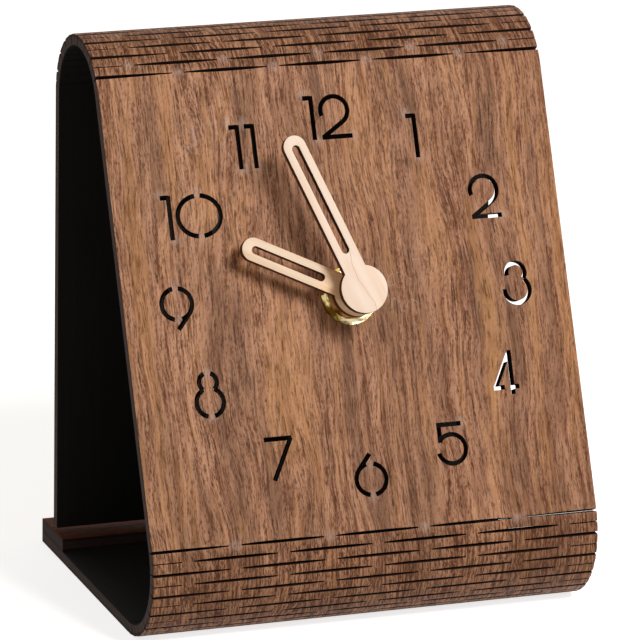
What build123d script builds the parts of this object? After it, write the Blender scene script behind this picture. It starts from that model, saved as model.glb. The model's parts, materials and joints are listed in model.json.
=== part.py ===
"""Desk clock: a kerf-bent plywood board, a glued strip, a quartz movement and two wooden hands.

The clock stands on its base. X runs to the right seen from the front, Y to the back and Z up.
The origin is under the middle of the whole clock, on the surface that it stands on.
"""
from build123d import *
from math import atan2, cos, degrees, hypot, pi, radians, sin
import os

# Board: one strip, bent over kerf slots (millimetres and degrees)

board_width = 120.0
board_thickness = 3.0
face_lean = 23.75
face_flat_length = 115.4
bottom_bend_radius = 20.1
top_bend_radius = 19.0
rear_ledge = 10.13

# Kerf slots of the two bends

kerf_pitch = 2.97
kerf_bridge = 3.2
kerf_slot_length = 22.2
bottom_kerf_width = 0.6
top_kerf_width = 0.8
edge_kerf_width = 0.3
first_kerf_below_face = 0.95
first_kerf_above_face = 4.5

# Retaining strip on the rear of the base, and the tenons that stand in it.
# The panel's shoulders stay clear of the strip, because the tenons stand on the base.

strip_front_margin = 5.07
strip_thickness = 3.5
shoulder_gap = 1.5
tenon_width = 16.0
tenon_count = 3
tenon_pitch = 26.0
mortise_clearance = 0.1

# Numerals, cut through the board as a stencil

numeral_height = 11.4
numeral_stroke = 1.2
numeral_margin = 8.3
hour_count = 12
one_one_gap = 1.4
one_zero_gap = 1.0
one_two_gap = 1.3

# Hands

hand_thickness = 2.0
hand_width = 6.0
hand_hub_radius = 6.15
hand_slot_width = 2.1
minute_hand_reach = 39.8
minute_slot_start = 11.05
hour_hand_reach = 29.2
hour_slot_start = 10.2
slot_end_inset = 0.6
minute_hand_angle = 20.5
hour_hand_angle = 63.6
hour_hand_height = 4.6
hand_spacing = 3.8
collet_wall = 0.7
collet_flange_radius = 4.4
collet_flange_thickness = 0.5
collet_step_back = 0.2
minute_bore_skin = 0.8

# Fasteners and shafts through the dial

bushing_radius = 4.0
bushing_flange_radius = 5.4
bushing_flange_thickness = 0.8
bushing_stand_out = 0.2
nut_across_flats = 12.5
nut_height = 2.0
nut_chamfer = 0.7
nut_turn = 55.0
washer_radius = 7.5
washer_thickness = 0.4
rubber_washer_radius = 9.0
rubber_washer_thickness = 0.8
hour_tube_radius = 2.5
minute_tube_radius = 1.6
seconds_arbor_radius = 0.5
shaft_stagger = 0.3
hole_clearance = 0.1
running_clearance = 0.05
friction_clearance = 0.03

# Gears of the movement

train_module = 0.25
motion_module = 0.35
intermediate_module = 0.26
cannon_teeth = 12
motion_teeth = 36
motion_pinion_teeth = 10
hour_teeth = 40
centre_teeth = 64
third_pinion_teeth = 8
third_teeth = 60
seconds_pinion_teeth = 8
seconds_teeth = 60
intermediate_pinion_teeth = 10
intermediate_teeth = 50
rotor_teeth = 10
setting_teeth = 12
third_direction = 0.0
motion_direction = 180.0
intermediate_direction = 120.0
rotor_direction = 150.0
wheel_thickness = 0.8
level_pitch = 1.7
front_play = 0.3
pinion_overhang = 0.3
arbor_radius = 0.5
motion_post_radius = 0.8
pivot_boss_radius = 1.6
pivot_boss_height = 1.2
pivot_end_play = 0.15
tooth_addendum_share = 0.85
tooth_dedendum_share = 1.15
tooth_tip_share = 0.10
tooth_pitch_share = 0.20
tooth_root_share = 0.28

# Case of the movement

case_wall = 1.5
cover_wall = 1.2
case_corner_radius = 2.0
case_rim_radius = 0.6
cover_lip_height = 1.6
cover_lip_wall = 1.0
cover_lip_clearance = 0.15
wheel_room = 1.6
partition_wall = 1.2
frame_plate_thickness = 0.9
frame_plate_clearance = 0.3
post_radius = 1.5
post_pin_radius = 0.8
post_inset = 0.7

# Battery, an AA cell, and its contacts

battery_length = 49.2
battery_radius = 7.1
battery_edge_radius = 0.6
battery_nub_length = 1.3
battery_nub_radius = 2.75
battery_room = 0.3
contact_room = 2.5
contact_gap = 0.15
contact_thickness = 0.3
contact_width = 8.0
contact_leg_width = 1.4
contact_ribbon_width = 1.3

# Motor and circuit

rotor_magnet_radius = 3.0
rotor_magnet_height = 2.4
rotor_air_gap = 0.4
stator_wall = 1.2
stator_thickness = 1.2
stator_half_span = 12.0
stator_bar = 4.0
stator_arm_width = 3.2
stator_depth = 6.5
coil_offset = 9.1
coil_radius = 3.9
coil_core_width = 3.2
coil_core_thickness = 1.2
bobbin_radius = 2.3
bobbin_flange_radius = 4.2
bobbin_flange_thickness = 0.6
circuit_width = 17.0
circuit_height = 15.0
circuit_thickness = 1.0
circuit_gap = 0.9
circuit_post_inset = 2.6
crystal_radius = 1.0
crystal_length = 6.0
crystal_lead_length = 1.2
crystal_lead_width = 0.5
chip_radius = 2.6
chip_height = 1.0

# Setting knob

setting_shaft_radius = 1.5
setting_pivot_radius = 1.0
setting_knob_radius = 5.5
setting_knob_height = 3.0
setting_knob_gap = 0.3
setting_knob_chamfer = 0.4
knob_groove_count = 18
knob_groove_radius = 0.45

# One overrun for all cuts

cut_over = 1.0

# Outline of the board, seen along X in Y and Z

bottom_turn = 90.0 + face_lean
top_turn = 180.0 - face_lean
strip_top = board_thickness + strip_thickness
panel_bottom = strip_top + shoulder_gap


def heading(turned):
    """Direction along the board once it has turned this far from the flat base, in Y and Z."""
    return Vector(-cos(radians(turned)), sin(radians(turned)))


def inward(turned):
    """Direction from the outside of the board to its inside at this turn, in Y and Z."""
    return Vector(sin(radians(turned)), cos(radians(turned)))


face_run = heading(bottom_turn).X * face_flat_length
bend_run = inward(bottom_turn).X * (top_bend_radius - bottom_bend_radius)
base_flat_length = bend_run + face_run + top_bend_radius + rear_ledge
clock_depth = bottom_bend_radius + base_flat_length
base_rear = clock_depth / 2
base_front = base_rear - base_flat_length
bottom_centre = Vector(base_front, bottom_bend_radius)
face_bottom = bottom_centre - inward(bottom_turn) * bottom_bend_radius
face_top = face_bottom + heading(bottom_turn) * face_flat_length
top_centre = face_top + inward(bottom_turn) * top_bend_radius
panel_outside = top_centre.X + top_bend_radius
panel_inside = panel_outside - board_thickness

# Dial: halfway between the first slots of the two bends. The numerals stay clear of these slots
# and of the board's edges.

dial_up_face = (face_flat_length + first_kerf_above_face - first_kerf_below_face) / 2
dial_centre = face_bottom + heading(bottom_turn) * dial_up_face
first_slot_reach = face_flat_length + first_kerf_above_face - dial_up_face
numeral_circle_radius = min(board_width / 2, first_slot_reach) - numeral_margin - numeral_height / 2
dial_plane = Plane(
    origin=(0, dial_centre.X, dial_centre.Y),
    x_dir=(1, 0, 0),
    z_dir=(0, -inward(bottom_turn).X, -inward(bottom_turn).Y),
)

# Heights along the dial's axis, from the front of the movement

dial_back = rubber_washer_thickness
dial_front = dial_back + board_thickness
nut_base = dial_front + washer_thickness
bushing_top = nut_base + nut_height + bushing_stand_out
hour_hand_back = dial_front + hour_hand_height
hour_hand_front = hour_hand_back + hand_thickness
minute_hand_back = hour_hand_front + hand_spacing
minute_bore_end = minute_hand_back + hand_thickness - minute_bore_skin
hour_tube_top = hour_hand_front - shaft_stagger
minute_tube_top = minute_bore_end - shaft_stagger
seconds_arbor_top = minute_tube_top - shaft_stagger
hour_bore_radius = minute_tube_radius + running_clearance
seconds_bore_radius = seconds_arbor_radius + running_clearance

# Gear positions in the dial's plane, and depths behind the front of the movement

hour_module = motion_module * (cannon_teeth + motion_teeth) / (hour_teeth + motion_pinion_teeth)
third_distance = train_module * (centre_teeth + third_pinion_teeth) / 2
third_module = 2 * third_distance / (third_teeth + seconds_pinion_teeth)


def apart(module, teeth_a, teeth_b):
    """Distance between the centres of two gears in mesh."""
    return module * (teeth_a + teeth_b) / 2


def step_from(start, direction, distance):
    """The point at this distance from another, in this direction in degrees."""
    return (start[0] + distance * cos(radians(direction)), start[1] + distance * sin(radians(direction)))


axis_at = (0, 0)
third_at = step_from(axis_at, third_direction, third_distance)
motion_distance = apart(motion_module, cannon_teeth, motion_teeth)
motion_at = step_from(axis_at, motion_direction, motion_distance)
setting_distance = apart(motion_module, motion_teeth, setting_teeth)
setting_at = step_from(motion_at, motion_direction, setting_distance)
intermediate_distance = apart(intermediate_module, seconds_teeth, intermediate_pinion_teeth)
intermediate_at = step_from(axis_at, intermediate_direction, intermediate_distance)
rotor_distance = apart(train_module, intermediate_teeth, rotor_teeth)
rotor_at = step_from(intermediate_at, rotor_direction, rotor_distance)
train_reach = third_module * (third_teeth / 2 + tooth_addendum_share)

hour_level, motion_level, centre_level, third_level, seconds_level, intermediate_level = range(6)
plate_level = 6


def level_top(level):
    """Front of the wheel on this level, counted from the front of the movement."""
    return -case_wall - front_play - level * level_pitch


def level_low(level):
    """Back of the wheel on this level."""
    return level_top(level) - wheel_thickness


frame_plate_top = level_top(plate_level)
frame_plate_low = frame_plate_top - frame_plate_thickness
train_depth = -frame_plate_low + frame_plate_clearance + cover_lip_height + cover_wall
battery_depth = case_wall + battery_room + 2 * battery_radius
case_depth = max(train_depth, battery_depth)
case_low = cover_wall - case_depth

# Outline of the movement's case

bay_height = 2 * (battery_radius + battery_room)
gear_floor = -(train_reach + wheel_room)
partition_low = gear_floor - partition_wall
bay_floor = partition_low - bay_height
case_floor = bay_floor - case_wall
coil_at = (rotor_at[0], rotor_at[1] + coil_offset)
gear_ceiling = coil_at[1] + bobbin_flange_radius + wheel_room
case_ceiling = gear_ceiling + case_wall
battery_span = battery_length + battery_nub_length
motor_reach = stator_half_span - rotor_at[0] + wheel_room
bay_half_width = max((battery_span + contact_room) / 2, motor_reach)
case_half_width = bay_half_width + case_wall
case_centre = (case_floor + case_ceiling) / 2
case_height = case_ceiling - case_floor
battery_at = bay_floor + battery_room + battery_radius
battery_axis_depth = -(case_wall + battery_room + battery_radius)
battery_left = bay_half_width - contact_thickness - contact_gap - battery_span
circuit_right = bay_half_width - contact_thickness - cover_lip_wall
circuit_top_edge = gear_ceiling - cover_lip_clearance
circuit_left = circuit_right - circuit_width
circuit_bottom_edge = circuit_top_edge - circuit_height
circuit_front = level_top(seconds_level) - circuit_gap + wheel_thickness
circuit_back = circuit_front - circuit_thickness


def disc(radius, low, high, at=(0, 0)):
    """An upright cylinder between two heights."""
    lifted = Pos(at[0], at[1], low)
    return lifted * Cylinder(radius, high - low, align=(Align.CENTER, Align.CENTER, Align.MIN))


def block(left, right, front, back, low, high):
    """A box between its lowest and highest corners."""
    size = Box(right - left, back - front, high - low, align=(Align.MIN, Align.MIN, Align.MIN))
    return Pos(left, front, low) * size


def plate(width, height, corner, low, high, centre=(0, 0)):
    """A flat plate with rounded corners."""
    outline = Pos(centre[0], centre[1], low) * RectangleRounded(width, height, corner)
    return extrude(outline, amount=high - low)


def gear(teeth, module, low, high, rotation, at=(0, 0)):
    """A spur gear whose first tooth points in the direction of its rotation in degrees."""
    pitch_radius = module * teeth / 2
    tip_radius = pitch_radius + tooth_addendum_share * module
    root_radius = pitch_radius - tooth_dedendum_share * module
    flank = (
        (root_radius, -tooth_root_share),
        (pitch_radius, -tooth_pitch_share),
        (tip_radius, -tooth_tip_share),
        (tip_radius, tooth_tip_share),
        (pitch_radius, tooth_pitch_share),
        (root_radius, tooth_root_share),
    )
    points = []
    for tooth in range(teeth):
        for radius, share in flank:
            angle = radians(rotation) + 2 * pi * (tooth + share) / teeth
            points.append((radius * cos(angle), radius * sin(angle)))
    outline = make_face(Polyline(points, close=True))
    return Pos(at[0], at[1], low) * extrude(outline, amount=high - low)


def meshed_rotation(driver_teeth, driver_rotation, direction, follower_teeth):
    """Rotation that puts a follower in mesh with its driver, which lies in the opposite direction."""
    driver_step = 360 / driver_teeth
    follower_step = 360 / follower_teeth
    phase = (direction - driver_rotation) / driver_step
    phase -= int(phase)
    return direction + 180 + (phase + 1 / 2) * follower_step


def on_dial(piece):
    """Puts a piece made around the dial's axis, with its front of movement at zero, in its place."""
    return dial_plane.offset(-dial_front).location * piece


# Board


def board_outline():
    """Cross-section of the bent board, seen along X."""
    def bends(depth):
        """The two bends and the flats between them, at this depth in the board."""
        low_radius = bottom_bend_radius - depth
        high_radius = top_bend_radius - depth
        low_bend = CenterArc(bottom_centre, low_radius, -90, -bottom_turn)
        high_bend = CenterArc(top_centre, high_radius, -90 - bottom_turn, -top_turn)
        floor = Line((base_rear, depth), low_bend @ 0)
        face = Line(low_bend @ 1, high_bend @ 0)
        panel = Line(high_bend @ 1, (panel_outside - depth, panel_bottom))
        return floor, low_bend, face, high_bend, panel

    outside = bends(0)
    inside = bends(board_thickness)
    rear_end = Line(outside[0] @ 0, inside[0] @ 0)
    panel_end = Line(outside[-1] @ 1, inside[-1] @ 1)
    return make_face([*outside, panel_end, *inside, rear_end])


def kerf_row(shifted):
    """Spans across the board of one row of slots, and whether each is a closed one at an edge."""
    step = kerf_slot_length + kerf_bridge
    edge = board_width / 2
    offset = step / 2 if shifted else 0
    spans = []
    reach = int(edge / step) + 1
    for index in range(-reach, reach + 1):
        middle = index * step + offset
        left = max(middle - kerf_slot_length / 2, -edge - cut_over)
        right = min(middle + kerf_slot_length / 2, edge + cut_over)
        if right <= -edge or left >= edge:
            continue
        at_edge = left < -edge or right > edge
        spans.append((left, right, shifted and at_edge))
    return spans


def bend_slots(centre, radius, start_turn, first, arc_length, width, backwards):
    """Cutters of all slots of one bend, row by row away from the face."""
    cutters = []
    rows = int((arc_length - first) / kerf_pitch) + 1
    for row in range(rows):
        along = degrees((first + row * kerf_pitch) / radius)
        turned = start_turn - along if backwards else start_turn + along
        middle = centre - inward(turned) * (radius - board_thickness / 2)
        normal = (0, -inward(turned).X, -inward(turned).Y)
        frame = Plane(origin=(0, middle.X, middle.Y), x_dir=(1, 0, 0), z_dir=normal)
        for left, right, closed in kerf_row(row % 2 == 1):
            slot_width = edge_kerf_width if closed else width
            cutter = Box(right - left, slot_width, board_thickness + cut_over)
            cutters.append(frame.location * Pos((left + right) / 2, 0, 0) * cutter)
    return cutters


# Strokes of the digits, in shares of the numeral height, from the digit's lower left corner.
# A bar has its two ends; a bow has its centre, its two radii and the angles that it runs between.

digit_width_shares = {"0": 1.088, "1": 0.237, "2": 0.741, "3": 0.684, "4": 0.623, "5": 0.737,
                      "6": 0.794, "7": 0.684, "8": 0.719}
bar_shares = {
    "1": [(0.193, 0.0, 0.193, 1.0), (0.0, 0.956, 0.193, 0.956)],
    "2": [(0.542, 0.374, 0.041, 0.039), (0.018, 0.044, 0.741, 0.044)],
    "4": [(0.462, 0.0, 0.462, 1.0), (0.053, 0.167, 0.443, 0.930), (0.009, 0.171, 0.272, 0.171),
          (0.462, 0.171, 0.623, 0.171)],
    "5": [(0.101, 0.531, 0.101, 0.974), (0.057, 0.930, 0.636, 0.930)],
    "6": [(0.131, 0.616, 0.421, 0.961)],
    "7": [(0.0, 0.943, 0.650, 0.943), (0.632, 0.956, 0.145, 0.018)],
}
bow_shares = {
    "0": [(0.544, 0.500, 0.500, 0.456, -82.5, 82.5), (0.544, 0.500, 0.500, 0.456, 97.5, 262.5)],
    "2": [(0.364, 0.640, 0.320, 0.320, -56.3, 199.5)],
    "3": [(0.351, 0.732, 0.219, 0.219, -40.0, 195.0), (0.342, 0.342, 0.298, 0.298, -185.0, 50.0)],
    "5": [(0.360, 0.373, 0.329, 0.329, -166.0, 139.0)],
    "6": [(0.399, 0.390, 0.351, 0.351, -79.4, 76.3), (0.399, 0.390, 0.351, 0.351, 103.0, 259.5)],
    "8": [(0.360, 0.360, 0.316, 0.316, -76.3, 66.3), (0.360, 0.360, 0.316, 0.316, 113.7, 256.3),
          (0.360, 0.811, 0.206, 0.206, -52.0, 68.8), (0.360, 0.811, 0.206, 0.206, 111.2, 232.0)],
}
six_height_share = 0.978
numeral_shift_shares = {1: (-0.048, -0.004), 2: (0.010, -0.013), 3: (-0.018, -0.018), 4: (-0.025, -0.009),
                        5: (-0.018, -0.005), 6: (0.004, 0.013), 7: (-0.035, 0.008), 8: (-0.032, 0.053),
                        9: (0.009, 0.044), 10: (0.065, 0.035), 11: (-0.031, 0.023), 12: (0.004, 0.018)}


def bar_face(start_x, start_y, end_x, end_y):
    """A straight stroke with square ends."""
    length = hypot(end_x - start_x, end_y - start_y) * numeral_height
    middle = ((start_x + end_x) * numeral_height / 2, (start_y + end_y) * numeral_height / 2)
    turn = degrees(atan2(end_y - start_y, end_x - start_x))
    return Pos(middle[0], middle[1]) * Rot(0, 0, turn) * Rectangle(length, numeral_stroke)


def bow_face(centre_x, centre_y, radius_x, radius_y, start, end):
    """A curved stroke along part of a circle or an oval."""
    centre = (centre_x * numeral_height, centre_y * numeral_height)
    half_stroke = numeral_stroke / 2

    def bow_edge(offset):
        """The stroke's edge, this far outside its middle line."""
        wide = radius_x * numeral_height + offset
        high = radius_y * numeral_height + offset
        if radius_x == radius_y:
            return CenterArc(centre, wide, start, end - start)
        return EllipticalCenterArc(centre, wide, high, start_angle=start, arc_size=end - start)

    outer = bow_edge(half_stroke)
    inner = bow_edge(-half_stroke)
    return make_face([outer, Line(outer @ 1, inner @ 1), inner, Line(inner @ 0, outer @ 0)])


def digit_faces(digit):
    """All strokes of one digit. A nine is a six turned half round."""
    if digit == "9":
        middle = (digit_width_shares["6"] * numeral_height / 2, six_height_share * numeral_height / 2)
        half_turn = Pos(*middle) * Rot(0, 0, 180) * Pos(-middle[0], -middle[1])
        return [half_turn * face for face in digit_faces("6")]
    bars = [bar_face(*shares) for shares in bar_shares.get(digit, [])]
    bows = [bow_face(*shares) for shares in bow_shares.get(digit, [])]
    return bars + bows


def numeral_cutters(number):
    """Cutters of one numeral, centred on the numeral circle."""
    gaps = {hour_count - 2: one_zero_gap, hour_count - 1: one_one_gap, hour_count: one_two_gap}
    widths = [digit_width_shares["6" if d == "9" else d] * numeral_height for d in str(number)]
    total = sum(widths) + gaps.get(number, 0)
    shift_x, shift_y = numeral_shift_shares[number]
    middle_x, middle_y = step_from(axis_at, 90 - number * 360 / hour_count, numeral_circle_radius)
    left = middle_x + shift_x * numeral_height - total / 2
    low = middle_y + (shift_y - 1 / 2) * numeral_height
    cutters = []
    for digit, width in zip(str(number), widths):
        for face in digit_faces(digit):
            stroke = Pos(left, low, -board_thickness - cut_over) * face
            cutters.append(dial_plane.location * extrude(stroke, amount=board_thickness + 2 * cut_over))
        left += width + gaps.get(number, 0)
    return cutters


def tenon_middles():
    """Places of the tenons across the board."""
    return [(index - (tenon_count - 1) / 2) * tenon_pitch for index in range(tenon_count)]


def bent_board():
    """The whole board: bends, slots, numerals, hole for the movement and tenons."""
    board = extrude(Plane.YZ * board_outline(), amount=board_width / 2, both=True)
    bottom_arc = radians(bottom_turn) * bottom_bend_radius
    top_arc = radians(top_turn) * top_bend_radius
    cutters = bend_slots(bottom_centre, bottom_bend_radius, bottom_turn, first_kerf_below_face,
                         bottom_arc, bottom_kerf_width, True)
    cutters += bend_slots(top_centre, top_bend_radius, bottom_turn, first_kerf_above_face,
                          top_arc, top_kerf_width, False)
    for number in range(1, hour_count + 1):
        cutters += numeral_cutters(number)
    cutters.append(on_dial(disc(bushing_radius + hole_clearance, dial_back - cut_over, dial_front + cut_over)))
    board = board.cut(*cutters)
    for middle in tenon_middles():
        board += block(middle - tenon_width / 2, middle + tenon_width / 2,
                       panel_inside, panel_outside, board_thickness, panel_bottom)
    return board


def retaining_strip():
    """Strip on the rear of the base, with a mortise for each tenon."""
    strip = block(-board_width / 2, board_width / 2, panel_inside - strip_front_margin, base_rear,
                  board_thickness, strip_top)
    for middle in tenon_middles():
        half = tenon_width / 2 + mortise_clearance
        strip -= block(middle - half, middle + half,
                       panel_inside - mortise_clearance, panel_outside + mortise_clearance,
                       board_thickness - cut_over, strip_top + cut_over)
    return strip


# Hands and what holds them


def hand_blade(reach, slot_start, back, bore_radius, bore_end):
    """A wooden hand pointing along Y: round hub, straight blade and a long slot."""
    front = back + hand_thickness
    blade = disc(hand_hub_radius, back, front)
    blade += block(-hand_width / 2, hand_width / 2, 0, reach, back, front)
    blade += disc(hand_width / 2, back, front, (0, reach))
    slot_end = reach - slot_end_inset
    slot_radius = hand_slot_width / 2
    cut_low = back - cut_over
    cut_high = front + cut_over
    blade -= block(-slot_radius, slot_radius, slot_start, slot_end, cut_low, cut_high)
    blade -= disc(slot_radius, cut_low, cut_high, (0, slot_start))
    blade -= disc(slot_radius, cut_low, cut_high, (0, slot_end))
    return blade - disc(bore_radius, cut_low, bore_end)


def collet(bore, low, hand_back, top):
    """A flanged metal sleeve that is glued into the back of a hand."""
    sleeve = disc(bore + collet_wall, low, top)
    sleeve += disc(collet_flange_radius, hand_back - collet_flange_thickness, hand_back)
    return sleeve - disc(bore, low - cut_over, top + cut_over)


hour_collet_low = bushing_top + shaft_stagger
minute_collet_low = hour_hand_front + hand_spacing / 2


def hour_hand():
    """Hour hand at its time, with a hole for its sleeve."""
    bore = hour_tube_radius + collet_wall
    return Rot(0, 0, hour_hand_angle) * hand_blade(
        hour_hand_reach, hour_slot_start, hour_hand_back, bore, hour_hand_front + cut_over)


def minute_hand():
    """Minute hand at its time, with a blind hole that leaves its front whole."""
    bore = minute_tube_radius + collet_wall
    return Rot(0, 0, minute_hand_angle) * hand_blade(
        minute_hand_reach, minute_slot_start, minute_hand_back, bore, minute_bore_end)


def hour_hand_bushing():
    """Sleeve of the hour hand, pressed on the hour tube."""
    return collet(hour_tube_radius, hour_collet_low, hour_hand_back, hour_hand_front - collet_step_back)


def minute_hand_bushing():
    """Sleeve of the minute hand, pressed on the minute tube."""
    return collet(minute_tube_radius, minute_collet_low, minute_hand_back, minute_bore_end)


def hex_nut():
    """Brass nut with chamfered corners on its front."""
    outline = RegularPolygon(nut_across_flats / 2, 6, major_radius=False, rotation=nut_turn)
    prism = Pos(0, 0, nut_base) * extrude(outline, amount=nut_height)
    corner = nut_across_flats / 2 / cos(radians(30))
    rounded = chamfer(disc(corner, nut_base, nut_base + nut_height).edges().group_by(Axis.Z)[-1], nut_chamfer)
    return (prism & rounded) - disc(bushing_radius, nut_base - cut_over, nut_base + nut_height + cut_over)


def ring(outer, inner, low, high):
    """A flat ring around the dial's axis."""
    return disc(outer, low, high) - disc(inner, low - cut_over, high + cut_over)


def threaded_bushing():
    """Brass tube that clamps the movement to the dial, moulded into the case by its flange."""
    tube = disc(bushing_radius, -case_wall, bushing_top)
    tube += disc(bushing_flange_radius, -bushing_flange_thickness, 0)
    return tube - disc(hour_tube_radius + running_clearance, -case_wall - cut_over, bushing_top + cut_over)


# Gears

motion_rotation = meshed_rotation(cannon_teeth, motion_direction, motion_direction, motion_teeth)
hour_rotation = meshed_rotation(motion_pinion_teeth, motion_direction + 180, motion_direction + 180, hour_teeth)
setting_rotation = meshed_rotation(motion_teeth, motion_rotation, motion_direction, setting_teeth)
third_pinion_rotation = meshed_rotation(centre_teeth, third_direction, third_direction, third_pinion_teeth)
third_rotation = meshed_rotation(seconds_pinion_teeth, third_direction, third_direction, third_teeth)
intermediate_pinion_rotation = meshed_rotation(
    seconds_teeth, intermediate_direction, intermediate_direction, intermediate_pinion_teeth)
rotor_rotation = meshed_rotation(intermediate_teeth, rotor_direction, rotor_direction, rotor_teeth)


def hour_wheel():
    """Hour wheel and the tube that carries the hour hand."""
    low = level_low(hour_level)
    wheel = gear(hour_teeth, hour_module, low, level_top(hour_level), hour_rotation)
    wheel += disc(hour_tube_radius, low, hour_tube_top)
    return wheel - disc(hour_bore_radius, low - cut_over, hour_tube_top + cut_over)


def minute_shaft():
    """Minute tube with the cannon pinion."""
    low = level_low(centre_level) - pinion_overhang
    pinion_low = level_low(motion_level) - pinion_overhang
    pinion_high = level_top(motion_level) + pinion_overhang
    shaft = disc(minute_tube_radius, low, minute_tube_top)
    shaft += gear(cannon_teeth, motion_module, pinion_low, pinion_high, motion_direction)
    return shaft - disc(seconds_bore_radius, low - cut_over, minute_tube_top + cut_over)


def clutch_spring():
    """Spring ring of the slip clutch, between the cannon pinion and the centre wheel."""
    high = level_low(motion_level) - pinion_overhang
    low = level_top(centre_level) + pinion_overhang / 2
    return ring(minute_tube_radius * 2, minute_tube_radius, low, high)


def motion_wheel():
    """Minute wheel with the pinion that drives the hour wheel."""
    low = level_low(motion_level)
    wheel = gear(motion_teeth, motion_module, low, level_top(motion_level), motion_rotation, motion_at)
    wheel += gear(motion_pinion_teeth, hour_module, low, level_top(hour_level), motion_direction + 180, motion_at)
    bore = motion_post_radius + running_clearance
    return wheel - disc(bore, low - cut_over, level_top(hour_level) + cut_over, motion_at)


def centre_wheel():
    """Centre wheel, held on the minute tube by friction alone."""
    low = level_low(centre_level)
    wheel = gear(centre_teeth, train_module, low, level_top(centre_level), third_direction)
    bore = minute_tube_radius + friction_clearance
    return wheel - disc(bore, low - cut_over, level_top(centre_level) + cut_over)


def train_wheel(teeth, module, rotation, pinion_teeth, pinion_module, pinion_rotation, level, at):
    """A wheel with its pinion in front, reaching one level further forward."""
    low = level_low(level)
    wheel = gear(teeth, module, low, level_top(level), rotation, at)
    pinion_high = level_top(level - 1) + pinion_overhang
    return wheel + gear(pinion_teeth, pinion_module, low, pinion_high, pinion_rotation, at)


pivot_front = -case_wall - pivot_end_play
pivot_back = frame_plate_low


def third_wheel():
    """Third wheel, from the seconds pinion to the centre wheel."""
    wheel = train_wheel(third_teeth, third_module, third_rotation, third_pinion_teeth, train_module,
                        third_pinion_rotation, third_level, third_at)
    return wheel + disc(arbor_radius, pivot_back, pivot_front, third_at)


def seconds_wheel():
    """Seconds wheel, with its arbor through the minute tube."""
    wheel = train_wheel(seconds_teeth, intermediate_module, intermediate_direction, seconds_pinion_teeth,
                        third_module, third_direction, seconds_level, axis_at)
    return wheel + disc(seconds_arbor_radius, pivot_back, seconds_arbor_top)


def intermediate_wheel():
    """Intermediate wheel, from the rotor to the seconds wheel."""
    wheel = train_wheel(intermediate_teeth, train_module, rotor_direction, intermediate_pinion_teeth,
                        intermediate_module, intermediate_pinion_rotation, intermediate_level, intermediate_at)
    return wheel + disc(arbor_radius, pivot_back, pivot_front, intermediate_at)


magnet_top = -stator_depth + (rotor_magnet_height - stator_thickness) / 2
magnet_low = magnet_top - rotor_magnet_height


def rotor_pinion():
    """Rotor arbor with its pinion and the collar under the magnet."""
    low = level_low(intermediate_level) - pinion_overhang
    pinion = gear(rotor_teeth, train_module, low, level_top(intermediate_level) + pinion_overhang,
                  rotor_rotation, rotor_at)
    pinion += disc(arbor_radius, pivot_back, pivot_front, rotor_at)
    return pinion


def rotor_magnet():
    """Ring magnet on the rotor arbor."""
    magnet = disc(rotor_magnet_radius, magnet_low, magnet_top, rotor_at)
    return magnet - disc(arbor_radius, magnet_low - cut_over, magnet_top + cut_over, rotor_at)


def setting_shaft():
    """Shaft that turns the minute wheel from the back of the movement."""
    pinion_low = level_low(motion_level) - pinion_overhang
    pinion_high = level_top(motion_level) + pinion_overhang
    knob_back = -case_depth - setting_knob_gap - setting_knob_height
    shaft = gear(setting_teeth, motion_module, pinion_low, pinion_high, setting_rotation, setting_at)
    shaft += disc(setting_shaft_radius, knob_back, pinion_low, setting_at)
    return shaft + disc(setting_pivot_radius, pinion_high, pivot_front, setting_at)


def setting_knob():
    """Grooved knob pressed on the setting shaft."""
    high = -case_depth - setting_knob_gap
    low = high - setting_knob_height
    knob = chamfer(disc(setting_knob_radius, low, high, setting_at).edges().group_by(Axis.Z)[0],
                   setting_knob_chamfer)
    for index in range(knob_groove_count):
        groove_at = step_from(setting_at, index * 360 / knob_groove_count, setting_knob_radius)
        knob -= disc(knob_groove_radius, low - cut_over, high + cut_over, groove_at)
    return knob - disc(setting_shaft_radius, low - cut_over, high + cut_over, setting_at)


# Case of the movement

post_reach = bay_half_width - post_radius - post_inset
post_low_row = gear_floor + contact_ribbon_width + post_radius + post_inset
post_high_row = gear_ceiling - post_radius - post_inset
circuit_corner_row = circuit_bottom_edge - post_radius - post_inset
frame_posts = (
    (-post_reach, post_low_row),
    (post_reach, post_low_row),
    (-post_reach, post_high_row),
    (post_reach, circuit_corner_row),
)
circuit_posts = (
    (circuit_left + circuit_post_inset, circuit_top_edge - circuit_post_inset),
    (circuit_right - circuit_post_inset, circuit_bottom_edge + circuit_post_inset),
)
pivots = (third_at, intermediate_at, rotor_at)
ribbon_back = circuit_back - contact_thickness
leg_low = circuit_front - contact_leg_width
leg_reach = bay_half_width - contact_thickness
notch_room = contact_thickness + battery_room


def contact_notches():
    """Openings in the partition where the two contacts pass it."""
    low = ribbon_back - battery_room
    high = circuit_front + contact_leg_width
    right = block(bay_half_width - notch_room, bay_half_width, partition_low - cut_over,
                  gear_floor + cut_over, low, high)
    left = block(-bay_half_width, -bay_half_width + notch_room, partition_low - cut_over,
                 gear_floor + cut_over, low, high)
    return right + left


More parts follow.
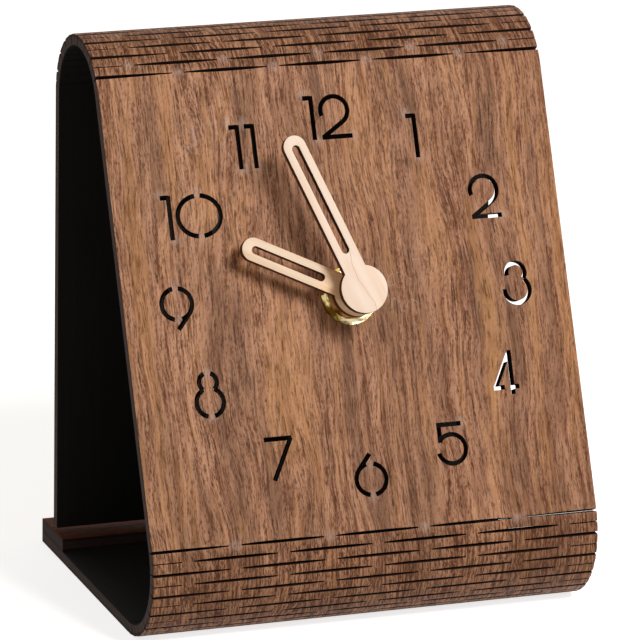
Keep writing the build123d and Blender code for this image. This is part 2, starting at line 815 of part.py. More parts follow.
def movement_case():
    """Front housing: face plate, walls, partition of the battery bay, posts and pivot bosses."""
    case = plate(2 * case_half_width, case_height, case_corner_radius, case_low, 0, (0, case_centre))
    case = fillet(case.faces().sort_by(Axis.Z)[-1].edges(), case_rim_radius)
    case -= block(-bay_half_width, bay_half_width, bay_floor, partition_low, case_low - cut_over, -case_wall)
    case -= block(-bay_half_width, bay_half_width, gear_floor, gear_ceiling, case_low - cut_over, -case_wall)
    case -= contact_notches()
    for post in frame_posts:
        case += disc(post_radius, frame_plate_top, -case_wall, post)
        case += disc(post_pin_radius, frame_plate_low, -case_wall, post)
    for post in circuit_posts:
        case += disc(post_radius, circuit_front, -case_wall, post)
        case += disc(post_pin_radius, circuit_back, -case_wall, post)
    case += disc(motion_post_radius, level_low(motion_level) - pinion_overhang, -case_wall, motion_at)
    for pivot in pivots:
        case += disc(pivot_boss_radius, -case_wall - pivot_boss_height, -case_wall, pivot)
        case -= disc(arbor_radius + running_clearance, -case_wall - pivot_boss_height - cut_over,
                     -case_wall, pivot)
    setting_boss = setting_pivot_radius + case_wall
    setting_boss_low = level_top(motion_level) + 2 * pinion_overhang
    case += disc(setting_boss, setting_boss_low, -case_wall, setting_at)
    case -= disc(setting_pivot_radius + running_clearance, setting_boss_low - cut_over, -case_wall, setting_at)
    case -= disc(bushing_flange_radius, -bushing_flange_thickness, cut_over)
    return case - disc(bushing_radius, -case_wall - cut_over, cut_over)


def frame_plate():
    """Inner plate that carries the rear pivots, set on four posts."""
    gap = frame_plate_clearance
    frame = block(gap - bay_half_width, bay_half_width - gap, gear_floor + gap, gear_ceiling - gap,
                  frame_plate_low, frame_plate_top)
    low = frame_plate_low - cut_over
    high = frame_plate_top + cut_over
    for post in frame_posts:
        frame -= disc(post_pin_radius, low, high, post)
    for pivot in (*pivots, axis_at):
        frame -= disc(arbor_radius + running_clearance, low, high, pivot)
    return frame - disc(setting_shaft_radius + running_clearance, low, high, setting_at)


def back_cover():
    """Rear cover with a lip inside the walls, open over the battery."""
    cover = plate(2 * case_half_width, case_height, case_corner_radius, -case_depth, case_low, (0, case_centre))
    cover = fillet(cover.faces().sort_by(Axis.Z)[0].edges(), case_rim_radius)
    gap = cover_lip_clearance
    lip_high = case_low + cover_lip_height
    inset = gap + cover_lip_wall
    cover += block(gap - bay_half_width, bay_half_width - gap, gear_floor + gap, gear_ceiling - gap,
                   case_low, lip_high)
    cover -= block(inset - bay_half_width, bay_half_width - inset, gear_floor + inset,
                   gear_ceiling - inset, case_low, lip_high + cut_over)
    cover -= block(-bay_half_width, bay_half_width, bay_floor, partition_low,
                   -case_depth - cut_over, case_low + cut_over)
    return cover - disc(setting_shaft_radius + running_clearance, -case_depth - cut_over,
                        case_low + cut_over, setting_at)


# Motor, circuit and battery

stator_top = -stator_depth
stator_low = stator_top - stator_thickness
core_top = stator_top + coil_core_thickness
core_middle = stator_top + coil_core_thickness / 2
arm_inside = stator_half_span - stator_arm_width


def stator():
    """Soft iron plate round the rotor, with two arms to the coil's core."""
    u, v = rotor_at
    lobe = rotor_magnet_radius + rotor_air_gap + stator_wall
    iron = block(u - stator_half_span, u + stator_half_span, v - stator_bar / 2, v + stator_bar / 2,
                 stator_low, stator_top)
    iron += disc(lobe, stator_low, stator_top, rotor_at)
    arm_top = coil_at[1] + coil_core_width / 2
    iron += block(u - stator_half_span, u - arm_inside, v, arm_top, stator_low, stator_top)
    iron += block(u + arm_inside, u + stator_half_span, v, arm_top, stator_low, stator_top)
    bore = rotor_magnet_radius + rotor_air_gap
    return iron - disc(bore, stator_low - cut_over, stator_top + cut_over, rotor_at)


def coil_core():
    """Iron bar through the coil, lying on the stator's arms."""
    u, v = coil_at
    half = coil_core_width / 2
    return block(u - stator_half_span, u + stator_half_span, v - half, v + half, stator_top, core_top)


def along_coil(radius, left, right):
    """A round piece along the coil's axis."""
    lying = Rot(0, 90, 0) * Cylinder(radius, right - left, align=(Align.CENTER, Align.CENTER, Align.MIN))
    return Pos(coil_at[0] + left, coil_at[1], core_middle) * lying


def coil_bobbin():
    """Plastic bobbin between the stator's arms, with a slot for the core."""
    flange = bobbin_flange_thickness
    bobbin = along_coil(bobbin_radius, -arm_inside, arm_inside)
    bobbin += along_coil(bobbin_flange_radius, -arm_inside, flange - arm_inside)
    bobbin += along_coil(bobbin_flange_radius, arm_inside - flange, arm_inside)
    return bobbin - coil_core()


def coil_winding():
    """Copper winding between the bobbin's flanges."""
    inside = arm_inside - bobbin_flange_thickness
    return along_coil(coil_radius, -inside, inside) - along_coil(bobbin_radius, -inside, inside)


def circuit_board():
    """Small circuit board on two posts."""
    board = block(circuit_left, circuit_right, circuit_bottom_edge, circuit_top_edge, circuit_back, circuit_front)
    for post in circuit_posts:
        board -= disc(post_pin_radius, circuit_back - cut_over, circuit_front + cut_over, post)
    return board


crystal_middle = (circuit_left + circuit_width / 2, circuit_top_edge - 2 * crystal_radius)


def quartz_crystal():
    """Metal can of the quartz crystal, lying on the circuit board with its two leads."""
    u, v = crystal_middle
    height = circuit_front + crystal_radius
    can = Pos(u - crystal_length / 2, v, height) * Rot(0, 90, 0) * Cylinder(
        crystal_radius, crystal_length, align=(Align.CENTER, Align.CENTER, Align.MIN))
    lead_start = u + crystal_length / 2
    for side in (-1, 1):
        middle = v + side * crystal_radius / 2
        can += block(lead_start, lead_start + crystal_lead_length, middle - crystal_lead_width / 2,
                     middle + crystal_lead_width / 2, circuit_front, height)
    return can


def chip_cover():
    """Black resin drop over the chip."""
    middle = (circuit_left + circuit_width / 2, (circuit_bottom_edge + circuit_top_edge) / 2)
    drop = disc(chip_radius, circuit_front, circuit_front + chip_height, middle)
    return fillet(drop.edges().group_by(Axis.Z)[-1], chip_height / 2)


contact_low = battery_axis_depth - contact_width / 2
contact_high = battery_axis_depth + contact_width / 2
contact_bottom = battery_at - contact_width / 2


def positive_contact():
    """Flat metal strip at the battery's positive end, with a leg to the circuit board."""
    outside = bay_half_width
    strip = block(leg_reach, outside, contact_bottom, battery_at + contact_width / 2, contact_low, contact_high)
    strip += block(leg_reach, outside, battery_at, circuit_bottom_edge + contact_width, circuit_front,
                   circuit_front + contact_leg_width)
    return strip + block(circuit_right - contact_leg_width / 2, outside, circuit_bottom_edge + contact_leg_width,
                         circuit_bottom_edge + contact_width, circuit_front, circuit_front + contact_thickness)


def negative_contact():
    """Sprung strip at the battery's negative end, with a ribbon to the circuit board."""
    outside = -bay_half_width
    inside = contact_thickness - bay_half_width
    strip = block(outside, inside, contact_bottom, battery_at + contact_width / 2, contact_low, contact_high)
    spring_tip = battery_left - contact_gap
    cone = Pos(inside, battery_at, battery_axis_depth) * Rot(0, 90, 0) * Cone(
        contact_width / 2, contact_width / 4, spring_tip - inside,
        align=(Align.CENTER, Align.CENTER, Align.MIN))
    strip += cone
    ribbon_high = circuit_back
    strip += block(outside, inside, battery_at, gear_floor + contact_ribbon_width, ribbon_back, ribbon_high)
    ribbon_right = circuit_right - circuit_post_inset - 2 * post_radius
    strip += block(outside, ribbon_right, gear_floor, gear_floor + contact_ribbon_width, ribbon_back, ribbon_high)
    return strip + block(ribbon_right - contact_ribbon_width, ribbon_right, gear_floor,
                         circuit_bottom_edge + contact_ribbon_width, ribbon_back, ribbon_high)


def battery_cell():
    """AA cell with its positive nub."""
    lying = Pos(battery_left, battery_at, battery_axis_depth) * Rot(0, 90, 0)
    base = (Align.CENTER, Align.CENTER, Align.MIN)
    can = fillet(Cylinder(battery_radius, battery_length, align=base).edges(), battery_edge_radius)
    nub = Pos(0, 0, battery_length) * Cylinder(battery_nub_radius, battery_nub_length, align=base)
    return lying * (can + nub)


dial_pieces = {
    "hour_hand": hour_hand,
    "minute_hand": minute_hand,
    "hour_hand_bushing": hour_hand_bushing,
    "minute_hand_bushing": minute_hand_bushing,
    "hex_nut": hex_nut,
    "threaded_bushing": threaded_bushing,
    "hour_wheel": hour_wheel,
    "minute_shaft": minute_shaft,
    "clutch_spring": clutch_spring,
    "motion_wheel": motion_wheel,
    "centre_wheel": centre_wheel,
    "third_wheel": third_wheel,
    "seconds_wheel": seconds_wheel,
    "intermediate_wheel": intermediate_wheel,
    "rotor_pinion": rotor_pinion,
    "rotor_magnet": rotor_magnet,
    "setting_shaft": setting_shaft,
    "setting_knob": setting_knob,
    "movement_case": movement_case,
    "frame_plate": frame_plate,
    "back_cover": back_cover,
    "stator": stator,
    "coil_core": coil_core,
    "coil_bobbin": coil_bobbin,
    "coil_winding": coil_winding,
    "circuit_board": circuit_board,
    "quartz_crystal": quartz_crystal,
    "chip_cover": chip_cover,
    "positive_contact": positive_contact,
    "negative_contact": negative_contact,
    "battery_cell": battery_cell,
}


def main():
    """Builds every piece and writes it to its own file."""
    os.makedirs("parts", exist_ok=True)
    pieces = {"bent_board": bent_board(), "retaining_strip": retaining_strip()}
    pieces["brass_washer"] = on_dial(ring(washer_radius, bushing_radius + hole_clearance, dial_front, nut_base))
    pieces["rubber_washer"] = on_dial(ring(rubber_washer_radius, bushing_radius + hole_clearance, 0, dial_back))
    for name, make in dial_pieces.items():
        pieces[name] = on_dial(make())
    for name, piece in pieces.items():
        export_step(piece, f"parts/{name}.step")


main()
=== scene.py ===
"""Looks of the kerf-bent walnut desk clock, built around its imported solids.

Lengths are in metres. Finishes work in millimetres of the board's own, unbent surface.
"""

import json
import logging
import math
from collections.abc import Callable, Sequence
from dataclasses import dataclass
from enum import Enum

import bpy
import numpy as np
from mathutils import Matrix, Vector
from mathutils.geometry import delaunay_2d_cdt


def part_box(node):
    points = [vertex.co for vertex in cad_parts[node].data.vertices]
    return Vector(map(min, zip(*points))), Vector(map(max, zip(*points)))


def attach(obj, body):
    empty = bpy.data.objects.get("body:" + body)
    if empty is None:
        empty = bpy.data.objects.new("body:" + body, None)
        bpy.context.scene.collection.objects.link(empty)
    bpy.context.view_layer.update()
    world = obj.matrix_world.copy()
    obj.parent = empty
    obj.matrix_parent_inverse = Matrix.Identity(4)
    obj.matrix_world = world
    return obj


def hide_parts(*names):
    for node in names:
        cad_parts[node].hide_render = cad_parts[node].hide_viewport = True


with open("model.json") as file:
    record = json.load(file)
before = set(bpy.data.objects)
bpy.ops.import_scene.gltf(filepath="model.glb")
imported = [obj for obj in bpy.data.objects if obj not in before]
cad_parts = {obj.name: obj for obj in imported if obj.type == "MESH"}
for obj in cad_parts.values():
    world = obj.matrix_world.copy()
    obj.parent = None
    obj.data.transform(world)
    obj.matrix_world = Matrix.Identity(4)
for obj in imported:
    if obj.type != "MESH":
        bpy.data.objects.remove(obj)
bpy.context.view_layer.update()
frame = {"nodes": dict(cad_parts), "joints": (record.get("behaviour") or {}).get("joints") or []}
log = logging.getLogger("desk_clock")

PLACE = "sheet_place"
MILLIMETRES = 1000.0
TINY = 1e-7
SHARP_ANGLE = math.radians(30)

Point = tuple[float, float]
Colour = tuple[float, float, float]
Span = tuple[float, ...]
Figure = tuple[float, float, float, float, float]
Socket = bpy.types.NodeSocket
Fold = Callable[[float, float, float], Vector]

WHITE: Colour = (255, 255, 255)

# A mixing node has one set of sockets for each kind of value; these are the ones for colours.
MIX_COLOUR_INPUTS = (6, 7)
MIX_COLOUR_OUTPUT = 2


def linear(colour: Colour) -> tuple[float, float, float, float]:
    """Turns a screen colour of 0 to 255 into a shader's linear colour, by the sRGB curve.

    Args:
        colour: Red, green and blue as a screen shows them.

    Returns:
        Linear red, green and blue, with a full alpha.
    """
    shares = [value / 255 for value in colour]
    return (*[s / 12.92 if s <= 0.04045 else ((s + 0.055) / 1.055) ** 2.4 for s in shares], 1.0)


def frame_joint(name: str) -> dict:
    """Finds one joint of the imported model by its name."""
    return next(joint for joint in frame["joints"] if joint["name"] == name)


@dataclass(frozen=True)
class Grain:
    """One layer of soft noise in a finish, with its lengths in millimetres.

    Attributes:
        size: Length of a typical feature across, along and deep.
        detail: Number of finer layers.
        rough: Strength of each finer layer.
        shift: Moves the noise, so that two layers differ.
    """

    size: Sequence[float]
    detail: float = 2.0
    rough: float = 0.5
    shift: float = 0.0


class Wiring:
    """Adds nodes to one node tree and joins them up.

    A value is a number, a vector, a colour or the output of another node.
    """

    def __init__(self, tree: bpy.types.NodeTree) -> None:
        """Takes the tree that the nodes go into."""
        self.tree = tree

    def put(self, socket: Socket, value: object) -> None:
        """Gives an input a value.

        Args:
            socket: The input.
            value: What it gets.
        """
        if isinstance(value, bpy.types.NodeSocket):
            self.tree.links.new(value, socket)
        else:
            socket.default_value = value

    def add(self, kind: str, *values: object, **options: object) -> bpy.types.Node:
        """Adds one node and fills its inputs.

        Args:
            kind: Blender's name of the node, after ShaderNode.
            values: What its inputs get, in their order.
            options: Options of the node by name.

        Returns:
            The new node.
        """
        node = self.tree.nodes.new(f"ShaderNode{kind}")
        for name, option in options.items():
            setattr(node, name, option)
        for socket, value in zip(node.inputs, values):
            self.put(socket, value)
        return node

    def scaled(self, vector: Socket, factors: Sequence[float]) -> Socket:
        """Multiplies a vector by one factor along each of its directions."""
        return self.add("VectorMath", vector, factors, operation="MULTIPLY").outputs[0]

    def shifted(self, vector: Socket, by: Socket) -> Socket:
        """Adds one vector to another."""
        return self.add("VectorMath", vector, by, operation="ADD").outputs[0]

    def distance(self, place: Socket, spot: Point) -> Socket:
        """Distance of a place from a spot on the sheet's outside."""
        return self.add("VectorMath", place, (*spot, 0.0), operation="DISTANCE").outputs["Value"]

    def split(self, vector: Socket) -> Sequence[Socket]:
        """Takes a vector apart into its three values."""
        return self.add("SeparateXYZ", vector).outputs[:]

    def joined(self, *values: object) -> Socket:
        """Makes a vector of three values."""
        return self.add("CombineXYZ", *values).outputs[0]

    def maths(self, operation: str, first: object, second: object = 0.0) -> Socket:
        """One sum on one or two values, by Blender's name of the sum."""
        return self.add("Math", first, second, operation=operation).outputs[0]

    def band(self, value: Socket, low: float, high: float, below: float = 0.0, above: float = 1.0) -> Socket:
        """Turns a value into a smooth step between two limits, which is flat below and above them."""
        values = (value, low, high, below, above)
        return self.add("MapRange", *values, interpolation_type="SMOOTHSTEP").outputs[0]

    def noise(self, place: Socket, grain: Grain) -> Socket:
        """Lays soft noise, as large along each direction as its grain says.

        Args:
            place: Where the noise is read, in millimetres.
            grain: Its size and its finer layers.

        Returns:
            A value around one half.
        """
        stretched = self.scaled(place, [1 / length for length in grain.size])
        if grain.shift:
            stretched = self.shifted(stretched, self.joined(grain.shift, grain.shift, grain.shift))
        node = self.add("TexNoise", stretched)
        for name, value in (("Scale", 1.0), ("Detail", grain.detail), ("Roughness", grain.rough)):
            self.put(node.inputs[name], value)
        return node.outputs[0]

    def product(self, first: object, *others: object) -> Socket:
        """Multiplies values by each other.

        Args:
            first: The first value.
            others: What it is multiplied by.

        Returns:
            The product.
        """
        for other in others:
            first = self.maths("MULTIPLY", first, other)
        return first

    def weighed(self, *parts: tuple[Socket, float]) -> Socket:
        """Adds up values, each times its weight.

        Args:
            parts: Each value with its weight.

        Returns:
            The sum.
        """
        total: object = 0.0
        for value, weight in parts:
            total = self.maths("ADD", self.product(value, weight), total)
        return total

    def mix(self, factor: object, first: object, second: object) -> Socket:
        """Mixes two colours.

        Args:
            factor: Share of the second colour.
            first: Colour of 0 to 255, or another node's output.
            second: Colour of 0 to 255, or another node's output.

        Returns:
            The mixed colour.
        """
        node = self.add("Mix", factor, data_type="RGBA")
        for number, colour in zip(MIX_COLOUR_INPUTS, (first, second)):
            value = colour if isinstance(colour, bpy.types.NodeSocket) else linear(colour)
            self.put(node.inputs[number], value)
        return node.outputs[MIX_COLOUR_OUTPUT]

    def seen(self) -> Socket:
        """Tells what is looked at from what only lights the clock.

        Returns:
            One where the camera, a reflection or a view through glass looks, and nought elsewhere.
        """
        path = self.add("LightPath").outputs
        total = path["Is Camera Ray"]
        for name in ("Is Glossy Ray", "Is Transmission Ray"):
            total = self.maths("MAXIMUM", total, path[name])
        return total


class NodeSheet(Wiring):
    """The nodes of one material, with the surface that they end in."""

    def __init__(self, name: str) -> None:
        """Starts a material with a bare surface shader.

        Args:
            name: Name of the material.
        """
        self.material = bpy.data.materials.new(name)
        self.material.use_nodes = True
        super().__init__(self.material.node_tree)
        self.surface = self.tree.nodes["Principled BSDF"]

    def sheet_place(self) -> Socket:
        """Place on the unbent sheet in millimetres: across, along and deep."""
        place = self.add("Attribute", attribute_name=PLACE)
        return self.scaled(place.outputs["Vector"], (MILLIMETRES,) * 3)

    def solid_place(self) -> Socket:
        """Place in the piece's own space, in millimetres."""
        place = self.add("TexCoord")
        return self.scaled(place.outputs["Object"], (MILLIMETRES,) * 3)

    def relief(self, height: Socket, depth: float) -> None:
        """Gives the surface a relief.

        Args:
            height: Height of the relief, from nought to one.
            depth: How deep it is, in millimetres.
        """
        node = self.add("Bump")
        self.put(node.inputs["Distance"], depth / MILLIMETRES)
        self.put(node.inputs["Height"], height)
        self.put(self.surface.inputs["Normal"], node.outputs["Normal"])

    def done(self, colour: object, roughness: object, **sockets: object) -> bpy.types.Material:
        """Wires colour and roughness, sets other inputs and gives back the material.

        Args:
            colour: The output of another node.
            roughness: A number, or another node's output.
            sockets: Other inputs of the surface, with underscores for spaces.

        Returns:
            The finished material.
        """
        self.put(self.surface.inputs["Base Color"], colour)
        self.put(self.surface.inputs["Roughness"], roughness)
        for name, value in sockets.items():
            self.put(self.surface.inputs[name.replace("_", " ")], value)
        return self.material


@dataclass(frozen=True)
class WalnutVeneer:
    """Oiled walnut veneer with its grain along the board, short dark pores and grey-brown bands.

    A span holds two limits and, where they aren't nought and one, the shares of colour at them.
    """

    name: str = "walnut_veneer"
    light: Colour = (203, 150, 116)
    brown: Colour = (99, 54, 29)
    amber: Colour = (202, 144, 90)
    grey: Colour = (99, 68, 50)
    pore: Colour = (34, 15, 6)
    # Darkening of the bends: smoke from the cuts, and painted shade.
    smoke: Colour = (70, 36, 17)
    ash: Colour = (184, 158, 146)
    wander: Grain = Grain((34, 110, 50), 1.0, 0.5, 3.1)
    ripple: Grain = Grain((11, 30, 20), 1.0, 0.5, 9.4)
    wander_reach: float = 11.2
    ripple_reach: float = 4.48
    rings: Grain = Grain((1.5, 70, 20), 3.0, 0.62, 2.9)
    streaks: Grain = Grain((0.6, 7, 6), 3.0, 0.6)
    fibres: Grain = Grain((0.25, 1.3, 3), 2.0, 0.62, 5.0)
    tone_weights: tuple[float, float, float] = (0.30, 0.32, 0.38)
    tone_span: Span = (0.41, 0.56)
    # Share of brown across the board: painted shade that darkens its right side.
    dusk_span: Span = (-50.0, 55.0, 0.0, 0.22)
    mottle: Grain = Grain((2.0, 17, 12), 2.0, 0.55, 15.2)
    mottle_span: Span = (0.42, 0.70, 0.0, 0.42)
    bands: Grain = Grain((7, 60, 40), 2.0, 0.55, 1.7)
    band_span: Span = (0.46, 0.70, 0.0, 0.34)
    gold: Grain = Grain((1.3, 24, 10), 2.0, 0.6, 21.6)
    gold_span: Span = (0.52, 0.68, 0.0, 0.3)
    figures: tuple[Figure, ...] = ()
    figure_fade: Point = (0.2, 1.2)
    figure_mottle_span: Span = (0.3, 0.6, 0.6, 1.0)
    fibre_span: Span = (0.45, 0.72, 0.0, 0.32)
    pores: Grain = Grain((0.42, 3.2, 2), 2.0, 0.5, 7.7)
    pore_span: Span = (0.57, 0.68)
    pore_share: float = 0.5
    lines: Grain = Grain((0.5, 9, 4), 2.0, 0.5, 11.3)
    line_span: Span = (0.61, 0.70, 0.0, 0.62)
    bends: tuple[Point, ...] = ()
    bend_fade: Point = (1.2, 1.6)
    smoke_weights: Point = (0.55, 0.45)
    smoke_span: Span = (0.42, 0.56, 0.78, 0.12)
    haze: tuple[Point, ...] = ()
    haze_span: Span = (0.23, 2.3, 0.42, 0.0)
    haze_fibre_span: Span = (0.35, 0.6, 0.4, 1.0)
    scuffs: tuple[Point, ...] = ()
    scuff_curl: float = 9.0
    scuff_line_span: Span = (0.001, 0.007, 0.42, 0.0)
    scuff_reach_span: Span = (6.0, 15.0, 1.0, 0.0)
    scuff_streak_span: Span = (0.4, 0.55)
    relief: float = 0.05
    roughness_span: Span = (0.3, 0.7, 0.62, 0.52)
    shine: float = 0.14

    def make(self) -> bpy.types.Material:
        """Builds the material."""
        return VeneerLayers(self).made()


class VeneerLayers:
    """Lays the tones of a walnut veneer over each other in one material."""

    def __init__(self, veneer: WalnutVeneer) -> None:
        """Starts the material, with the layers of noise that several tones share.

        Args:
            veneer: Colours and sizes of the veneer.
        """
        self.veneer = veneer
        self.sheet = sheet = NodeSheet(veneer.name)
        self.place = sheet.sheet_place()
        self.grain = sheet.shifted(self.place, sheet.joined(self.drift(), 0.0, 0.0))
        self.streaks = sheet.noise(self.grain, veneer.streaks)
        self.fibres = sheet.noise(self.grain, veneer.fibres)
        self.mottle = sheet.noise(self.grain, veneer.mottle)
        self.pores = sheet.band(sheet.noise(self.grain, veneer.pores), *veneer.pore_span)
        self.colour: object = veneer.brown

    def drift(self) -> Socket:
        """Lets the grain wander sideways, in slow and in quicker waves along the board.

        Returns:
            How far it lies to the side.
        """
        sheet, veneer = self.sheet, self.veneer
        waves = ((veneer.wander, veneer.wander_reach), (veneer.ripple, veneer.ripple_reach))
        return sheet.weighed(*[(sheet.maths("SUBTRACT", sheet.noise(self.place, wave), 0.5), reach)
                               for wave, reach in waves])

    def cover(self, colour: Colour, *shares: object) -> None:
        """Lays a colour over the ones so far, by the product of its shares."""
        self.colour = self.sheet.mix(self.sheet.product(*shares), self.colour, colour)

    def lay_wood(self) -> None:
        """Light and brown wood with broad bands and golden streaks, and painted shade that darkens it to the
        right.
        """
        sheet, veneer = self.sheet, self.veneer
        layers = (sheet.noise(self.grain, veneer.rings), self.streaks, self.fibres)
        tone = sheet.weighed(*zip(layers, veneer.tone_weights))
        across, _, _ = sheet.split(self.grain)
        self.cover(veneer.light, sheet.band(tone, *veneer.tone_span))
        # Painted shade, darker towards the right of the board.
        self.cover(veneer.brown, sheet.band(across, *veneer.dusk_span))
        self.cover(veneer.brown, sheet.band(self.mottle, *veneer.mottle_span))
        self.cover(veneer.grey, sheet.band(sheet.noise(self.grain, veneer.bands), *veneer.band_span))
        self.cover(veneer.amber, sheet.band(sheet.noise(self.grain, veneer.gold), *veneer.gold_span))

    def lay_figures(self) -> None:
        """The single bands of the face."""
        sheet, veneer = self.sheet, self.veneer
        for across, along, half_width, half_length, strength in veneer.figures:
            reach = (1 / half_width, 1 / half_length, 0.0)
            middle = (across * reach[0], along * reach[1])
            off = sheet.distance(sheet.scaled(self.grain, reach), middle)
            self.cover(veneer.grey if strength > 0 else veneer.amber,
                       sheet.band(off, *veneer.figure_fade, abs(strength), 0.0),
                       sheet.band(self.mottle, *veneer.figure_mottle_span))

    def lay_pores(self) -> None:
        """Dark fibres, short pores and longer dark lines."""
        sheet, veneer = self.sheet, self.veneer
        self.cover(veneer.pore, sheet.band(self.fibres, *veneer.fibre_span))
        self.cover(veneer.pore, self.pores, veneer.pore_share)
        self.cover(veneer.pore, sheet.band(sheet.noise(self.grain, veneer.lines), *veneer.line_span))

    def lay_smoke(self) -> None:
        """Darkens the darker streaks of the bends: smoke from the cuts, and painted shade of the bends."""
        sheet, veneer = self.sheet, self.veneer
        _, along, _ = sheet.split(self.place)
        outside, inside = veneer.bend_fade
        settled = sheet.weighed(*zip((self.streaks, self.fibres), veneer.smoke_weights))
        for low, high in veneer.bends:
            self.cover(veneer.smoke, sheet.band(along, low - outside, low + inside),
                       sheet.band(along, high - inside, high + outside, 1.0, 0.0),
                       sheet.band(settled, *veneer.smoke_span))

    def lay_haze(self) -> None:
        """Pale haze beside numerals and slots, where the cutting left ash."""
        sheet, veneer = self.sheet, self.veneer
        for spot in veneer.haze:
            self.cover(veneer.ash, sheet.band(sheet.distance(self.place, spot), *veneer.haze_span),
                       sheet.band(self.fibres, *veneer.haze_fibre_span))

    def lay_scuffs(self) -> None:
        """Thin pale scratches around each scuffed spot."""
        sheet, veneer = self.sheet, self.veneer
        for spot in veneer.scuffs:
            curl = Grain((veneer.scuff_curl,) * 3, detail=1.0, rough=0.4, shift=spot[0])
            curve = sheet.noise(self.place, curl)
            off = sheet.maths("ABSOLUTE", sheet.maths("SUBTRACT", curve, 0.5))
            self.cover(veneer.ash, sheet.band(off, *veneer.scuff_line_span),
                       sheet.band(sheet.distance(self.place, spot), *veneer.scuff_reach_span),
                       sheet.band(self.streaks, *veneer.scuff_streak_span))

    def made(self) -> bpy.types.Material:
        """Lays all tones, from the wood up to the scuffs.

        Returns:
            The material.
        """
        for lay in (self.lay_wood, self.lay_figures, self.lay_pores,
                    self.lay_smoke, self.lay_haze, self.lay_scuffs):
            lay()
        self.sheet.relief(self.sheet.maths("SUBTRACT", self.fibres, self.pores), self.veneer.relief)
        rough = self.sheet.band(self.streaks, *self.veneer.roughness_span)
        return self.sheet.done(self.colour, rough, Specular_IOR_Level=self.veneer.shine)


@dataclass(frozen=True)
class BlackStain:
    """Black stained wood, such as the board's inside, with a faint grain."""

    name: str = "black_stain"
    dark: Colour = (15, 13, 12)
    rubbed: Colour = (24, 21, 19)
    grain: Grain = Grain((0.8, 26, 5), 3.0, 0.6)
    grain_span: Span = (0.45, 0.8)
    relief: float = 0.03
    roughness: float = 0.72
    shine: float = 0.08

    def make(self) -> bpy.types.Material:
        """Builds the material.

        Returns:
            The material.
        """
        sheet = NodeSheet(self.name)
        grain = sheet.noise(sheet.sheet_place(), self.grain)
        sheet.relief(grain, self.relief)
        colour = sheet.mix(sheet.band(grain, *self.grain_span), self.dark, self.rubbed)
        return sheet.done(colour, self.roughness, Specular_IOR_Level=self.shine)


@dataclass(frozen=True)
class LaserEdge:
    """Laser-cut edge of the three-ply board: scorched veneers, greyer core on the long outer edges."""

    name: str = "laser_edge"
    char: Colour = (38, 25, 20)
    core: Colour = (84, 68, 63)
    veneer: float = 0.75
    veneer_fade: Point = (-0.1, 0.25)
    thickness: float = 3.0
    lining_fade: Point = (-0.35, -0.1)
    half_width: float = 60.0
    rim_fade: Point = (-0.4, -0.1)
    burn: Grain = Grain((3.0, 3.0, 0.5), 3.0, 0.6)
    burn_span: Span = (0.3, 0.7, 0.55, 1.0)
    relief: float = 0.06

    def make(self) -> bpy.types.Material:
        """Builds the material.

        Returns:
            The material.
        """
        sheet = NodeSheet(self.name)
        place = sheet.sheet_place()
        across, _, deep = sheet.split(place)
        under_veneer = sheet.band(deep, *[self.veneer + fade for fade in self.veneer_fade])
        over_lining = sheet.band(deep, *[self.thickness + fade for fade in self.lining_fade], 1.0, 0.0)
        burn = sheet.noise(place, self.burn)
        from_middle = sheet.maths("ABSOLUTE", across)
        # Elsewhere the core keeps the char colour: real scorch, and painted shade of the narrow slots and
        # numerals.
        rim = sheet.band(from_middle, *[self.half_width + fade for fade in self.rim_fade])
        ply = sheet.product(under_veneer, over_lining, sheet.band(burn, *self.burn_span), rim)
        sheet.relief(burn, self.relief)
        return sheet.done(sheet.mix(ply, self.char, self.core), roughness=0.78, Specular_IOR_Level=0.12)


@dataclass(frozen=True)
class PaleWood:
    """Fine sanded pale wood of the hands with faint straight fibres, and painted light at the hub."""

    name: str = "pale_wood"
    cream: Colour = (244, 221, 202)
    tan: Colour = (231, 196, 165)
    broad: Grain = Grain((2.6, 30, 6), 2.0, 0.5, 2.2)
    broad_span: Span = (0.4, 0.75, 0.0, 0.55)
    fine: Grain = Grain((0.28, 7, 3), 2.0, 0.6)
    fine_span: Span = (0.5, 0.8, 0.0, 0.3)
    relief: float = 0.02
    # Painted light: a lighter, warmer zone at the hub lifts the minute hand's shadow on the hour hand.
    hub_reach: float = 0.0
    hub_fade: float = 5.0
    hub_light: Colour = (252, 218, 180)
    hub_brown: Colour = (236, 192, 150)
    hub_grain: Grain = Grain((0.7, 9, 3), 3.0, 0.6, 3.3)
    hub_span: Span = (0.35, 0.65)
    has_hairline: bool = False
    hairline: Colour = (196, 146, 126)
    hairline_course: Grain = Grain((1, 9, 1), 1.0, 0.4, 6.1)
    hairline_middle: float = 0.46
    hairline_swing: float = 5.0
    hairline_span: Span = (0.03, 0.13, 0.6, 0.0)
    hairline_end_span: Span = (9.5, 11.5, 1.0, 0.0)

    def make(self) -> bpy.types.Material:
        """Builds the material.

        Returns:
            The material.
        """
        sheet = NodeSheet(self.name)
        place = sheet.sheet_place()
        fine = sheet.noise(place, self.fine)
        colour = sheet.mix(sheet.band(sheet.noise(place, self.broad), *self.broad_span), self.cream, self.tan)
        colour = sheet.mix(sheet.band(fine, *self.fine_span), colour, self.tan)
        across, along, _ = sheet.split(place)
        # Painted light at the hub, lifting the minute hand's cast shadow.
        if self.hub_reach:
            grain = sheet.band(sheet.noise(place, self.hub_grain), *self.hub_span)
            near = sheet.band(along, self.hub_reach, self.hub_reach + self.hub_fade, 1.0, 0.0)
            colour = sheet.mix(near, colour, sheet.mix(grain, self.hub_brown, self.hub_light))
        if self.has_hairline:
            course = sheet.noise(sheet.joined(0.0, along, 0.0), self.hairline_course)
            middle = sheet.product(sheet.maths("SUBTRACT", course, self.hairline_middle), self.hairline_swing)
            off = sheet.maths("ABSOLUTE", sheet.maths("SUBTRACT", across, middle))
            line = sheet.product(sheet.band(off, *self.hairline_span),
                                 sheet.band(along, *self.hairline_end_span))
            colour = sheet.mix(line, colour, self.hairline)
        sheet.relief(fine, self.relief)
        return sheet.done(colour, roughness=0.6, Specular_IOR_Level=0.2)


